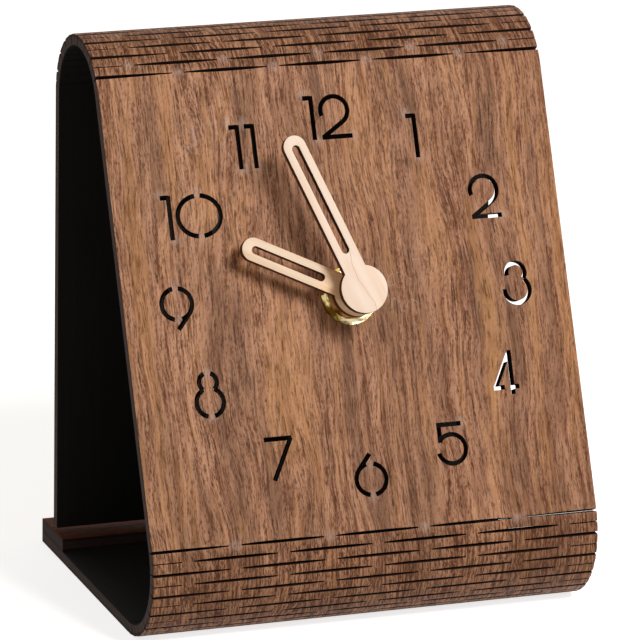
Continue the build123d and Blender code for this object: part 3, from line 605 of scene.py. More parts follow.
@dataclass(frozen=True)
class ScorchedRim(BlackStain):
    """Side of a hand, darkened where the laser cut it."""

    name: str = "scorched_rim"
    dark: Colour = (64, 36, 20)
    rubbed: Colour = (128, 78, 46)
    grain: Grain = Grain((1.5, 1.5, 0.6), 3.0, 0.6)
    roughness: float = 0.75
    shine: float = 0.15


@dataclass(frozen=True)
class MouldedPlastic:
    """Moulded plastic with a finely sparked skin and slight unevenness."""

    name: str
    colour: Colour
    worn: Colour
    roughness: float = 0.5
    spark: float = 0.22
    depth: float = 0.02
    cloud: Grain = Grain((14, 14, 14), 2.0, 0.5, 4.4)
    cloud_span: Span = (0.35, 0.75)
    rough_span: Point = (0.3, 0.7)
    rough_drift: Point = (-0.05, 0.06)

    def make(self) -> bpy.types.Material:
        """Builds the material.

        Returns:
            The material.
        """
        sheet = NodeSheet(self.name)
        place = sheet.solid_place()
        sheet.relief(sheet.noise(place, Grain((self.spark,) * 3, rough=0.6)), self.depth)
        cloud = sheet.noise(place, self.cloud)
        colour = sheet.mix(sheet.band(cloud, *self.cloud_span), self.colour, self.worn)
        rough = sheet.band(cloud, *self.rough_span, *[self.roughness + drift for drift in self.rough_drift])
        return sheet.done(colour, rough, Specular_IOR_Level=0.4)


@dataclass(frozen=True)
class DialMetal:
    """Metal turned or brushed around or along a direction, with a fine tool mark."""

    name: str
    colour: Colour
    shade: Colour
    roughness: float = 0.28
    mark: Sequence[float] = (3.0, 3.0, 0.12)
    mark_depth: float = 0.006
    tarnish: Grain = Grain((3.2, 3.2, 3.2), 2.0, 0.5, 8.8)
    tarnish_span: Span = (0.4, 0.62)
    rough_span: Point = (0.3, 0.7)
    rough_drift: Point = (-0.06, 0.08)

    def make(self) -> bpy.types.Material:
        """Builds the material.

        Returns:
            The material.
        """
        sheet = NodeSheet(self.name)
        place = sheet.solid_place()
        scratch = sheet.noise(place, Grain(self.mark, detail=3.0, rough=0.6))
        sheet.relief(scratch, self.mark_depth)
        tarnish = sheet.band(sheet.noise(place, self.tarnish), *self.tarnish_span)
        rough = sheet.band(scratch, *self.rough_span, *[self.roughness + drift for drift in self.rough_drift])
        return sheet.done(sheet.mix(tarnish, self.colour, self.shade), rough, Metallic=1.0)


@dataclass(frozen=True)
class WoundWire:
    """Enamelled copper wire wound side by side around the coil, with painted shade in its grooves."""

    name: str = "wound_wire"
    crest: Colour = (196, 108, 62)
    groove: Colour = (96, 40, 20)
    crest_span: Span = (-0.8, 0.6)
    pitch: float = 0.14
    relief: float = 0.03

    def make(self) -> bpy.types.Material:
        """Builds the material.

        Returns:
            The material.
        """
        sheet = NodeSheet(self.name)
        across, _, _ = sheet.split(sheet.solid_place())
        crest = sheet.maths("SINE", sheet.product(across, 2 * math.pi / self.pitch))
        sheet.relief(crest, self.relief)
        # Painted shade: darker colour in the grooves between the turns.
        colour = sheet.mix(sheet.band(crest, *self.crest_span), self.groove, self.crest)
        return sheet.done(colour, roughness=0.32, Metallic=0.6)


class Layer(Enum):
    """Which surface of a cut sheet a face belongs to; its value is the material's place in the piece."""

    FRONT = 0
    BACK = 1
    EDGE = 2


def arc_points(centre: Point, radius: Point, start: float, end: float, step: float = 7.5) -> list[Point]:
    """Points along a circle or an oval.

    Args:
        centre: Its centre.
        radius: Its two radii, across and along.
        start: First angle in degrees.
        end: Last angle in degrees.
        step: Largest angle between two points.

    Returns:
        The points, both ends included.
    """
    count = max(2, math.ceil(abs(end - start) / step) + 1)
    turns = [math.radians(start + (end - start) * index / (count - 1)) for index in range(count)]
    return [(centre[0] + radius[0] * math.cos(t), centre[1] + radius[1] * math.sin(t)) for t in turns]


def ring_points(centre: Point, radius: float, step: float) -> list[Point]:
    """Points once round a circle, this many degrees apart, without its start a second time."""
    return arc_points(centre, (radius, radius), 0, 360 - step, step)


def rectangle(left: float, right: float, near: float, far: float) -> list[Point]:
    """The four corners of a rectangle, from the near left one round to the right."""
    return [(left, near), (right, near), (right, far), (left, far)]


def within(points: np.ndarray, outline: Sequence[Point]) -> np.ndarray:
    """Says which points lie inside a closed outline.

    Args:
        points: One point in each row.
        outline: The outline.

    Returns:
        True or False for each point.
    """
    ring = np.array(outline)
    inside = np.zeros(len(points), bool)
    near = np.all((points >= ring.min(0)) & (points <= ring.max(0)), axis=1)
    if not near.any():
        return inside
    x, y = points[near, 0], points[near, 1]
    hits = np.zeros(len(x), bool)
    for (ax, ay), (bx, by) in zip(ring, np.roll(ring, -1, axis=0)):
        if ay != by:
            hits ^= ((ay > y) != (by > y)) & (x < (bx - ax) * (y - ay) / (by - ay) + ax)
    inside[near] = hits
    return inside


class CutSheet:
    """A sheet with its outline and the cuts through it, laid out flat and split into triangles."""

    def __init__(self, outline: Sequence[Point], cuts: Sequence[Sequence[Point]],
                 lines: Sequence[tuple[Point, Point]] = (), rings: Sequence[Sequence[Point]] = ()) -> None:
        """Lays out the sheet.

        Args:
            outline: Closed outline of the sheet.
            cuts: Closed outlines of what is cut away.
            lines: Lines that the mesh has to follow, such as those that it bends over.
            rings: Closed outlines that the mesh has to follow without a cut.
        """
        points: list[Vector] = []
        edges: list[tuple[int, int]] = []
        for ring in [outline, *cuts, *rings]:
            first = len(points)
            points += [Vector(point) for point in ring]
            edges += [(first + i, first + (i + 1) % len(ring)) for i in range(len(ring))]
        for line in lines:
            edges.append((len(points), len(points) + 1))
            points += [Vector(point) for point in line]
        found = delaunay_2d_cdt(points, edges, [], 0, TINY, False)
        self.points = np.array([tuple(point) for point in found[0]])
        triangles = np.array([list(face) for face in found[2]])
        corners = self.points[triangles]
        sides = corners[:, 1:] - corners[:, :1]
        area = sides[:, 0, 0] * sides[:, 1, 1] - sides[:, 0, 1] * sides[:, 1, 0]
        triangles[area < 0] = triangles[area < 0][:, ::-1]
        middles = corners.mean(axis=1)
        kept = within(middles, outline) & (np.abs(area) > TINY ** 2)
        for cut in cuts:
            kept &= ~within(middles, cut)
        self.triangles = triangles[kept]
        self.middles = middles[kept]

    @staticmethod
    def borders(triangles: np.ndarray) -> list[tuple[int, int]]:
        """Finds the edges that belong to one triangle only.

        Args:
            triangles: The triangles that count.

        Returns:
            The edges, with the sheet on their left.
        """
        pairs = [(int(t[i]), int(t[(i + 1) % 3])) for t in triangles for i in range(3)]
        known = set(pairs)
        return [(a, b) for a, b in pairs if (b, a) not in known]

    def solid(self, name: str, thickness: float, fold: Fold, finishes: Sequence[bpy.types.Material],
              rim: float = 0.0, pocket: Sequence[Point] = (), pocket_depth: float = 0.0) -> bpy.types.Object:
        """Gives the sheet its thickness and puts it in place.

        Args:
            name: Name of the piece.
            thickness: Thickness of the sheet.
            fold: Gives the place of a point across, along and deep in the sheet.
            finishes: Materials of the front, the back and the edges.
            rim: How far the front is rounded off at its borders, towards the rings.
            pocket: Closed outline of a pocket in the back.
            pocket_depth: Depth of that pocket.

        Returns:
            The piece, linked to the scene.
        """
        count = len(self.points)
        borders = self.borders(self.triangles)
        at_border = {a for a, _ in borders}
        hollow = within(self.middles, pocket) if len(pocket) else np.zeros(len(self.triangles), bool)
        flat, floor = self.triangles[~hollow], self.triangles[hollow]
        places = [(x, y, rim if i in at_border else 0.0) for i, (x, y) in enumerate(self.points)]
        places += [(x, y, thickness) for x, y in self.points]
        faces = [tuple(t) for t in self.triangles]
        layers = [Layer.FRONT] * len(faces)
        faces += [tuple(count + t[::-1]) for t in flat]
        layers += [Layer.BACK] * len(flat)
        faces += [(a, a + count, b + count, b) for a, b in borders]
        if len(floor):
            places += [(x, y, thickness - pocket_depth) for x, y in self.points]
            faces += [tuple(2 * count + t[::-1]) for t in floor]
            faces += [(a + count, a + 2 * count, b + 2 * count, b + count) for a, b in self.borders(floor)]
        layers += [Layer.EDGE] * (len(faces) - len(layers))
        return piece_from(name, places, faces, layers, fold, finishes)


def piece_from(name: str, places: Sequence[Sequence[float]], faces: Sequence[Sequence[int]],
               layers: Sequence[Layer], fold: Fold,
               finishes: Sequence[bpy.types.Material]) -> bpy.types.Object:
    """Makes a piece of sheet places and faces, without the points that no face uses.

    Args:
        name: Name of the piece.
        places: Each point across, along and deep in the sheet.
        faces: Each face as numbers of points.
        layers: The surface that each face belongs to.
        fold: Gives the place of a sheet point in the frame.
        finishes: Materials of the front, the back and the edges.

    Returns:
        The piece, linked to the scene.
    """
    used = sorted({index for face in faces for index in face})
    new_index = {old: new for new, old in enumerate(used)}
    kept = [places[old] for old in used]
    mesh = bpy.data.meshes.new(name)
    mesh.from_pydata([fold(*place) for place in kept], [], [[new_index[i] for i in face] for face in faces])
    sheet_places = mesh.attributes.new(PLACE, "FLOAT_VECTOR", "POINT")
    sheet_places.data.foreach_set("vector", np.array(kept, float).ravel())
    for finish in finishes:
        mesh.materials.append(finish)
    mesh.polygons.foreach_set("material_index", [layer.value for layer in layers])
    mesh.polygons.foreach_set("use_smooth", [True] * len(mesh.polygons))
    mesh.set_sharp_from_angle(angle=SHARP_ANGLE)
    mesh.update()
    return linked(name, mesh)


def linked(name: str, data: bpy.types.ID) -> bpy.types.Object:
    """Makes an object of a mesh, a lamp or a camera.

    Args:
        name: Name of the object.
        data: What it shows.

    Returns:
        The object, linked to the scene.
    """
    made = bpy.data.objects.new(name, data)
    bpy.context.scene.collection.objects.link(made)
    return made


def dress(finish: MouldedPlastic | DialMetal | WoundWire, *nodes: str) -> None:
    """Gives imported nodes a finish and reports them.

    Args:
        finish: What they are made of.
        nodes: Names of the nodes.
    """
    material = finish.make()
    for name in nodes:
        node = frame["nodes"][name]
        if not node.material_slots:
            node.data.materials.append(None)
        for socket in node.material_slots:
            socket.material = material
        log.info("dressed %s with %s", name, material.name)


# Bands of the veneer on the face, in millimetres: place across, place above the bottom bend,
# half width, half length and strength, which is below nought for the amber ones.

FACE_FIGURES: tuple[Figure, ...] = (
    (-46.5, 100, 2.4, 26, 0.45), (-34, 62, 6, 22, 0.32), (-29.5, 42, 5, 30, 0.5),
    (-25.5, 12, 3.4, 24, 0.5), (-36, 25, 4, 36, 0.4), (-2, 38, 3, 28, 0.7), (2, 8, 7, 20, 0.5),
    (9, 56, 7, 18, 0.5), (-25, 108, 3.4, 18, 0.45), (-2, 112, 3.4, 16, 0.55), (24, 108, 2.2, 16, 0.5),
    (41.5, 100, 3.4, 26, 0.55), (32, 56, 2, 16, 0.4), (41, 42, 2.6, 36, 0.5), (53, 60, 2.2, 62, 0.4),
    (-53.5, 60, 3.4, 58, -0.4), (-43, 100, 3, 22, -0.35), (-35, 88, 4.4, 18, -0.35),
    (-19, 38, 8, 26, -0.38), (10, 100, 7, 26, -0.25), (25, 78, 3.4, 22, -0.35), (-9, 88, 9, 24, 0.4),
    (35, 50, 2.6, 42, -0.45), (47.5, 70, 2.4, 52, -0.45), (58, 60, 2, 52, -0.35),
)

# Scuffed spots of the face, in millimetres from the dial's axis: across and up.

FACE_SCUFFS: tuple[Point, ...] = ((14, 2), (-24, 24), (-14, -7), (-44, 22), (50, 40), (-32, 40))

# Strokes of the digits, in shares of the numeral height, from the digit's lower left corner.
# A bar has its two ends; a bow has its centre, its two radii and the angles that it runs between.
# A nine is a six turned half round.

DIGIT_WIDTH_SHARES = {"0": 1.088, "1": 0.237, "2": 0.741, "3": 0.684, "4": 0.623, "5": 0.737,
                      "6": 0.794, "7": 0.684, "8": 0.719, "9": 0.794}
BAR_SHARES = {
    "1": [(0.193, 0.0, 0.193, 1.0), (0.0, 0.956, 0.193, 0.956)],
    "2": [(0.542, 0.374, 0.041, 0.039), (0.018, 0.044, 0.741, 0.044)],
    "4": [(0.462, 0.0, 0.462, 1.0), (0.053, 0.167, 0.443, 0.930), (0.009, 0.171, 0.272, 0.171),
          (0.462, 0.171, 0.623, 0.171)],
    "5": [(0.101, 0.531, 0.101, 0.974), (0.057, 0.930, 0.636, 0.930)],
    "6": [(0.131, 0.616, 0.421, 0.961)],
    "7": [(0.0, 0.943, 0.650, 0.943), (0.632, 0.956, 0.145, 0.018)],
}
BOW_SHARES = {
    "0": [(0.544, 0.500, 0.500, 0.456, -82.5, 82.5), (0.544, 0.500, 0.500, 0.456, 97.5, 262.5)],
    "2": [(0.364, 0.640, 0.320, 0.320, -56.3, 199.5)],
    "3": [(0.351, 0.732, 0.219, 0.219, -40.0, 195.0), (0.342, 0.342, 0.298, 0.298, -185.0, 50.0)],
    "5": [(0.360, 0.373, 0.329, 0.329, -166.0, 139.0)],
    "6": [(0.399, 0.390, 0.351, 0.351, -79.4, 76.3), (0.399, 0.390, 0.351, 0.351, 103.0, 259.5)],
    "8": [(0.360, 0.360, 0.316, 0.316, -76.3, 66.3), (0.360, 0.360, 0.316, 0.316, 113.7, 256.3),
          (0.360, 0.811, 0.206, 0.206, -52.0, 68.8), (0.360, 0.811, 0.206, 0.206, 111.2, 232.0)],
}
SIX_HEIGHT_SHARE = 0.978

# Pale spots beside the digits, shifts of the numerals from their places on the circle, in shares
# of the numeral height too, and the room between the two digits of an hour, in metres.

PALE_SPOT_SHARES = {
    "0": [(0.544, 1.02), (0.544, 0.02)],
    "1": [(0.0, 1.02), (0.24, 0.0)],
    "2": [(0.741, 0.044)],
    "5": [(0.64, 0.96)],
    "6": [(0.399, 0.741), (0.399, 0.02)],
    "8": [(0.360, 1.02), (0.360, 0.02)],
}
NUMERAL_SHIFT_SHARES = {1: (-0.048, -0.004), 2: (0.010, -0.013), 3: (-0.018, -0.018), 4: (-0.025, -0.009),
                        5: (-0.018, -0.005), 6: (0.004, 0.013), 7: (-0.035, 0.008), 8: (-0.032, 0.053),
                        9: (0.009, 0.044), 10: (0.065, 0.035), 11: (-0.031, 0.023), 12: (0.004, 0.018)}
DIGIT_GAPS = {10: 0.001, 11: 0.0014, 12: 0.0013}


@dataclass
class CutNumerals:
    """The hours, cut through the face as a stencil."""

    height: float = 0.0114
    stroke: float = 0.0012
    circle_radius: float = 0.046
    hours: int = 12

    def bar(self, ends: Sequence[float]) -> list[Point]:
        """Draws a straight stroke with square ends.

        Args:
            ends: Its two ends, in shares of the height.

        Returns:
            Its outline.
        """
        start, end = Vector(ends[:2]) * self.height, Vector(ends[2:]) * self.height
        side = (end - start).orthogonal().normalized() * self.stroke / 2
        return [tuple(corner) for corner in (start - side, end - side, end + side, start + side)]

    def bow(self, course: Sequence[float]) -> list[Point]:
        """Draws a curved stroke along part of a circle or an oval.

        Args:
            course: Its centre and two radii, in shares of the height, and its first and last angle.

        Returns:
            Its outline.
        """
        *centre, wide, high = (share * self.height for share in course[:4])
        start, end = course[4:]
        half = self.stroke / 2
        outer = arc_points(centre, (wide + half, high + half), start, end)
        return outer + arc_points(centre, (wide - half, high - half), end, start)

    def turned_six(self, points: Sequence[Point]) -> list[Point]:
        """Turns points of a six half round, which makes a nine."""
        width, high = DIGIT_WIDTH_SHARES["6"] * self.height, SIX_HEIGHT_SHARE * self.height
        return [(width - x, high - y) for x, y in points]

    def digit(self, digit: str) -> list[list[Point]]:
        """Draws one digit.

        Args:
            digit: The digit.

        Returns:
            Outlines of its strokes.
        """
        if digit == "9":
            return [self.turned_six(stroke) for stroke in self.digit("6")]
        bars = [self.bar(ends) for ends in BAR_SHARES.get(digit, [])]
        return bars + [self.bow(course) for course in BOW_SHARES.get(digit, [])]

    def pale_spots(self, digit: str) -> list[Point]:
        """Finds where fumes of the cutting left the veneer pale.

        Args:
            digit: The digit beside it.

        Returns:
            The places, from the digit's lower left corner.
        """
        if digit == "9":
            return self.turned_six(self.pale_spots("6"))
        return [(x * self.height, y * self.height) for x, y in PALE_SPOT_SHARES.get(digit, [])]

    def laid_out(self, middle: Point) -> list[tuple[str, Point]]:
        """Places all digits round the dial.

        Args:
            middle: Place of the dial's axis on the unbent board.

        Returns:
            Each digit with its lower left corner.
        """
        found = []
        for hour in range(1, self.hours + 1):
            gap = DIGIT_GAPS.get(hour, 0.0)
            widths = [DIGIT_WIDTH_SHARES[digit] * self.height for digit in str(hour)]
            shift_x, shift_y = NUMERAL_SHIFT_SHARES[hour]
            turn = math.radians(90 - hour * 360 / self.hours)
            left = middle[0] + self.circle_radius * math.cos(turn) + shift_x * self.height
            left -= (sum(widths) + gap) / 2
            low = middle[1] + self.circle_radius * math.sin(turn) + (shift_y - 0.5) * self.height
            for digit, width in zip(str(hour), widths):
                found.append((digit, (left, low)))
                left += width + gap
        return found

    def strokes(self, middle: Point) -> list[list[Point]]:
        """Outlines of all strokes on the board, with the dial's axis at this place."""
        return [[(left + x, low + y) for x, y in stroke]
                for digit, (left, low) in self.laid_out(middle) for stroke in self.digit(digit)]

    def spots(self, middle: Point) -> list[Point]:
        """Pale spots on the board, in millimetres, with the dial's axis at this place."""
        return [((left + x) * MILLIMETRES, (low + y) * MILLIMETRES)
                for digit, (left, low) in self.laid_out(middle) for x, y in self.pale_spots(digit)]


def heading(turned: float) -> Vector:
    """Direction along the board in Y and Z, after it has turned this far from the base."""
    return Vector((-math.cos(turned), math.sin(turned)))


def inward(turned: float) -> Vector:
    """Direction from the board's outside to its inside in Y and Z, at this turn."""
    return Vector((math.sin(turned), math.cos(turned)))


@dataclass(frozen=True)
class SlotShape:
    """How the slots of one bend stand open.

    Attributes:
        middle: Width halfway along a slot.
        tip: Width at both its tips.
        taper: How late it narrows towards them, as a power.
        closing: Share of its width that it has lost on the inside of the bend.
    """

    middle: float
    tip: float
    taper: float
    closing: float


@dataclass
class KerfBend:
    """One bend of the board: its radius, its rows of slots and how they stand open.

    The board has turned by turned where the bend starts, and by turn more where it ends.
    """

    start: float
    radius: float
    centre: Vector
    turned: float
    turn: float
    first_row: float
    upward: bool
    slots: SlotShape
    pitch: float
    thickness: float
    facet_rise: float = 0.00005

    def end(self) -> float:
        """Where the bend ends along the board."""
        return self.start + self.turn * self.radius

    def slot_width(self, share: float) -> float:
        """Width of a slot at this share of the way from its middle to its tip."""
        slots = self.slots
        return slots.tip + (slots.middle - slots.tip) * (1 - share ** slots.taper)

    def wrap(self, along: float, deep: float) -> Vector:
        """Wraps a point of the board round the bend.

        Slots close towards the inside, and between their rows the board stays flatter.

        Args:
            along: Distance along the outside.
            deep: Distance under the outside.

        Returns:
            The place in Y and Z.
        """
        row = self.first_row + round((along - self.first_row) / self.pitch) * self.pitch
        off = along - row
        if abs(off) <= self.slots.middle / 2 + TINY:
            along = row + off * (1 - self.slots.closing * deep / self.thickness)
        reach = self.radius - deep
        rows = (along - self.first_row) / self.pitch
        if self.start < along < self.end() and (rows if self.upward else -rows) >= 0:
            reach -= self.facet_rise * math.cos(2 * math.pi * rows)
        return self.centre - inward(self.turned + (along - self.start) / self.radius) * reach


@dataclass
class BentBoard:
    """The whole board: base, bottom bend, face, top bend and rear panel with its tenons."""

    width: float = 0.120
    thickness: float = 0.003
    lean: float = 23.75
    face_length: float = 0.1154
    bottom_radius: float = 0.0201
    top_radius: float = 0.019
    rear_ledge: float = 0.01013
    strip_top: float = 0.0065
    shoulder_gap: float = 0.0015
    kerf_pitch: float = 0.00297
    slot_length: float = 0.0222
    slot_bridge: float = 0.0032
    bottom_slots: SlotShape = SlotShape(middle=0.00078, tip=0.0003, taper=3.0, closing=0.92)
    top_slots: SlotShape = SlotShape(middle=0.00096, tip=0.00028, taper=2.0, closing=0.84)
    edge_slot_width: float = 0.00028
    first_below: float = 0.00095
    first_above: float = 0.0045
    soft_edge: float = 0.00018
    tenon_width: float = 0.016
    tenon_pitch: float = 0.026
    hole_radius: float = 0.0041
    hole_step: float = 7.5
    lines_each_pitch: int = 4
    slot_stretches: int = 18
    overrun: float = 0.0006
    bridges_aside: int = 2

    def __post_init__(self) -> None:
        """Works out the bends and flats along the board from its driving sizes."""
        self.bottom_turn = math.radians(90 + self.lean)
        self.top_turn = math.radians(180 - self.lean)
        ahead, aside = heading(self.bottom_turn), inward(self.bottom_turn)
        run = aside.x * (self.top_radius - self.bottom_radius) + ahead.x * self.face_length
        self.base_length = run + self.top_radius + self.rear_ledge
        self.rear = (self.bottom_radius + self.base_length) / 2
        self.bottom_centre = Vector((self.rear - self.base_length, self.bottom_radius))
        self.face_start = self.base_length + self.bottom_turn * self.bottom_radius
        self.face_end = self.face_start + self.face_length
        self.panel_start = self.face_end + self.top_turn * self.top_radius
        self.face_bottom = self.bottom_centre - aside * self.bottom_radius
        self.top_centre = self.face_bottom + ahead * self.face_length + aside * self.top_radius
        shoulders = self.strip_top + self.shoulder_gap
        self.panel_end = self.panel_start + self.top_centre.y - shoulders
        self.length = self.panel_end + shoulders - self.thickness
        first_below, first_above = self.face_start - self.first_below, self.face_end + self.first_above
        self.dial = (0.0, (first_below + first_above) / 2)
        self.bends = (
            KerfBend(start=self.base_length, radius=self.bottom_radius, centre=self.bottom_centre,
                     turned=0.0, turn=self.bottom_turn, first_row=first_below, upward=False,
                     slots=self.bottom_slots, pitch=self.kerf_pitch, thickness=self.thickness),
            KerfBend(start=self.face_end, radius=self.top_radius, centre=self.top_centre,
                     turned=self.bottom_turn, turn=self.top_turn, first_row=first_above, upward=True,
                     slots=self.top_slots, pitch=self.kerf_pitch, thickness=self.thickness),
        )

    def fold(self, across: float, along: float, deep: float) -> Vector:
        """Bends the board, and takes the corners off its two long edges.

        Args:
            across: Distance to the right of the board's middle.
            along: Distance from the rear of the base along the outside.
            deep: Distance under the outside.

        Returns:
            The place in the frame of that point of the unbent board.
        """
        low, high = self.bends
        if abs(across) > self.width / 2 - TINY:
            deep = min(max(deep, self.soft_edge / 2), self.thickness - self.soft_edge / 2)
        if along <= low.start:
            return Vector((across, self.rear - along, deep))
        if along < self.face_start:
            place = low.wrap(along, deep)
        elif along <= self.face_end:
            ahead, aside = heading(self.bottom_turn), inward(self.bottom_turn)
            place = self.face_bottom + ahead * (along - self.face_start) + aside * deep
        elif along < self.panel_start:
            place = high.wrap(along, deep)
        else:
            outside = self.top_centre.x + self.top_radius
            place = Vector((outside - deep, self.top_centre.y + self.panel_start - along))
        return Vector((across, place.x, place.y))

    def slot(self, left: float, right: float, along: float, bend: KerfBend, closed: bool) -> list[Point]:
        """Draws a slot, which is widest in its middle, or at the board's edge where it is open.

        Args:
            left: Its left end.
            right: Its right end.
            along: Its row.
            bend: The bend that it belongs to.
            closed: True for the hairline cuts that stay shut.

        Returns:
            Its closed outline.
        """
        edge = self.width / 2
        start, end = max(left, -edge - self.overrun), min(right, edge + self.overrun)
        lowest = left if left > -edge else -2 * edge - right
        highest = right if right < edge else 2 * edge - left
        middle, half = (lowest + highest) / 2, (highest - lowest) / 2
        lower, upper = [], []
        for index in range(self.slot_stretches + 1):
            x = start + (end - start) * index / self.slot_stretches
            width = self.edge_slot_width if closed else bend.slot_width(min(1.0, abs(x - middle) / half))
            lower.append((x, along - width / 2))
            upper.append((x, along + width / 2))
        return lower + upper[::-1]

    def slots(self, bend: KerfBend) -> list[list[Point]]:
        """Draws all slots of one bend.

        Args:
            bend: The bend.

        Returns:
            Their outlines, row by row away from the face.
        """
        edge = self.width / 2
        step = self.slot_length + self.slot_bridge
        reach = int(edge / step) + 1
        away = 1 if bend.upward else -1
        room = bend.end() - bend.first_row if bend.upward else bend.first_row - bend.start
        found = []
        for row in range(int(room / self.kerf_pitch) + 1):
            shifted = row % 2 == 1
            for index in range(-reach, reach + 1):
                middle = index * step + (step / 2 if shifted else 0.0)
                left, right = middle - self.slot_length / 2, middle + self.slot_length / 2
                if right > -edge and left < edge:
                    closed = shifted and (left < -edge or right > edge)
                    along = bend.first_row + row * self.kerf_pitch * away
                    found.append(self.slot(left, right, along, bend, closed))
        return found

    def outline(self) -> list[Point]:
        """Draws the unbent board.

        Returns:
            Its outline, with the tenons at the end of its rear panel.
        """
        edge, end = self.width / 2, self.panel_end
        points = [(-edge, 0.0), (edge, 0.0), (edge, end)]
        for middle in (self.tenon_pitch, 0.0, -self.tenon_pitch):
            left, right = middle - self.tenon_width / 2, middle + self.tenon_width / 2
            points += [(right, end), (right, self.length), (left, self.length), (left, end)]
        return [*points, (-edge, end)]

    def fold_lines(self) -> list[tuple[Point, Point]]:
        """Draws the lines that the board's mesh follows.

        Returns:
            Lines across the board that it bends over, and those beside its long edges.
        """
        edge = self.width / 2
        step = self.kerf_pitch / self.lines_each_pitch
        lines = []
        for bend in self.bends:
            end = bend.end()
            most = math.ceil((end - bend.start) / step)
            places = [bend.first_row + index * step for index in range(-most, most + 1)]
            places = [place for place in places if bend.start + step / 3 < place < end - step / 3]
            lines += [((-edge, place), (edge, place)) for place in [bend.start, *places, end]]
        for side in (-1, 1):
            inner = side * (edge - self.soft_edge)
            lines.append(((inner, 0.0), (inner, self.panel_end)))
        return lines

    def veneer(self, numerals: CutNumerals) -> WalnutVeneer:
        """Fits the veneer's bands, bends darkened by smoke and painted shade, haze and scuffs to this board.

        Args:
            numerals: The hours cut through the face.

        Returns:
            The finish of the outside.
        """
        low, high = self.bends
        smoked_and_shaded = ((low.start, low.first_row), (high.first_row, self.panel_start))
        bends = tuple((start * MILLIMETRES, end * MILLIMETRES) for start, end in smoked_and_shaded)
        step = (self.slot_length + self.slot_bridge) * MILLIMETRES
        pitch = self.kerf_pitch * MILLIMETRES
        rows = ((bends[0][1], 0.5), (bends[1][0], 0.5), (bends[1][0] + pitch, 0.0))
        aside = range(-self.bridges_aside, self.bridges_aside + 1)
        bridges = [((index + shift) * step, row) for index in aside for row, shift in rows]
        dial_x, dial_y = (part * MILLIMETRES for part in self.dial)
        scuffs = tuple((dial_x + x, dial_y + y) for x, y in FACE_SCUFFS)
        figures = tuple((x, y + self.face_start * MILLIMETRES, *rest) for x, y, *rest in FACE_FIGURES)
        haze = (*numerals.spots(self.dial), *bridges)
        return WalnutVeneer(bends=bends, figures=figures, scuffs=scuffs, haze=haze)

    def build(self) -> None:
        """Builds the board in the place of its solid."""
        numerals = CutNumerals()
        cuts = [*numerals.strokes(self.dial), ring_points(self.dial, self.hole_radius, self.hole_step)]
        for bend in self.bends:
            cuts += self.slots(bend)
        sheet = CutSheet(self.outline(), cuts, self.fold_lines())
        finishes = [finish.make() for finish in (self.veneer(numerals), BlackStain(), LaserEdge())]
        board = sheet.solid("walnut_board", self.thickness, self.fold, finishes)
        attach(board, "case")
        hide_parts("bent_board")


@dataclass
class FootStrip:
    """Strip glued on the rear of the base, with a mortise for each tenon."""

    board: BentBoard
    front_margin: float = 0.00507
    clearance: float = 0.0001
    rim: float = 0.00015
    # A darker copy of the walnut veneer: painted shade of the strip inside the case.
    veneer: WalnutVeneer = WalnutVeneer("strip_veneer_shaded", (136, 80, 52), (92, 50, 30), (140, 84, 50),
                                        (98, 56, 36), shine=0.03)
    underside: BlackStain = BlackStain("strip_underside")
    edge: LaserEdge = LaserEdge("strip_edge", core=(66, 52, 52), half_width=0.0)

    @staticmethod
    def lengthwise(ring: Sequence[Point]) -> list[Point]:
        """Turns an outline a quarter round, so that the grain runs along the strip."""
        return [(y, -x) for x, y in ring]

    def build(self) -> None:
        """Builds the strip, which lies on the base with its grain along its length."""
        board, rim = self.board, self.rim
        side, rear = board.width / 2, board.rear
        outside = board.top_centre.x + board.top_radius
        inside = outside - board.thickness
        front = inside - self.front_margin
        half = board.tenon_width / 2 + self.clearance
        near, far = inside - self.clearance, outside + self.clearance
        cuts = [self.lengthwise(rectangle(middle - half, middle + half, near, far))
                for middle in (-board.tenon_pitch, 0.0, board.tenon_pitch)]
        inner = rectangle(-side + rim, side - rim, front + rim, rear - rim)
        sheet = CutSheet(self.lengthwise(rectangle(-side, side, front, rear)), cuts,
                         rings=[self.lengthwise(inner)])
        finishes = [finish.make() for finish in (self.veneer, self.underside, self.edge)]
        strip = sheet.solid("foot_strip", board.strip_top - board.thickness,
                            lambda y, x, deep: Vector((-x, y, board.strip_top - deep)),
                            finishes, rim=rim / 2)
        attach(strip, "case")
        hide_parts("retaining_strip")


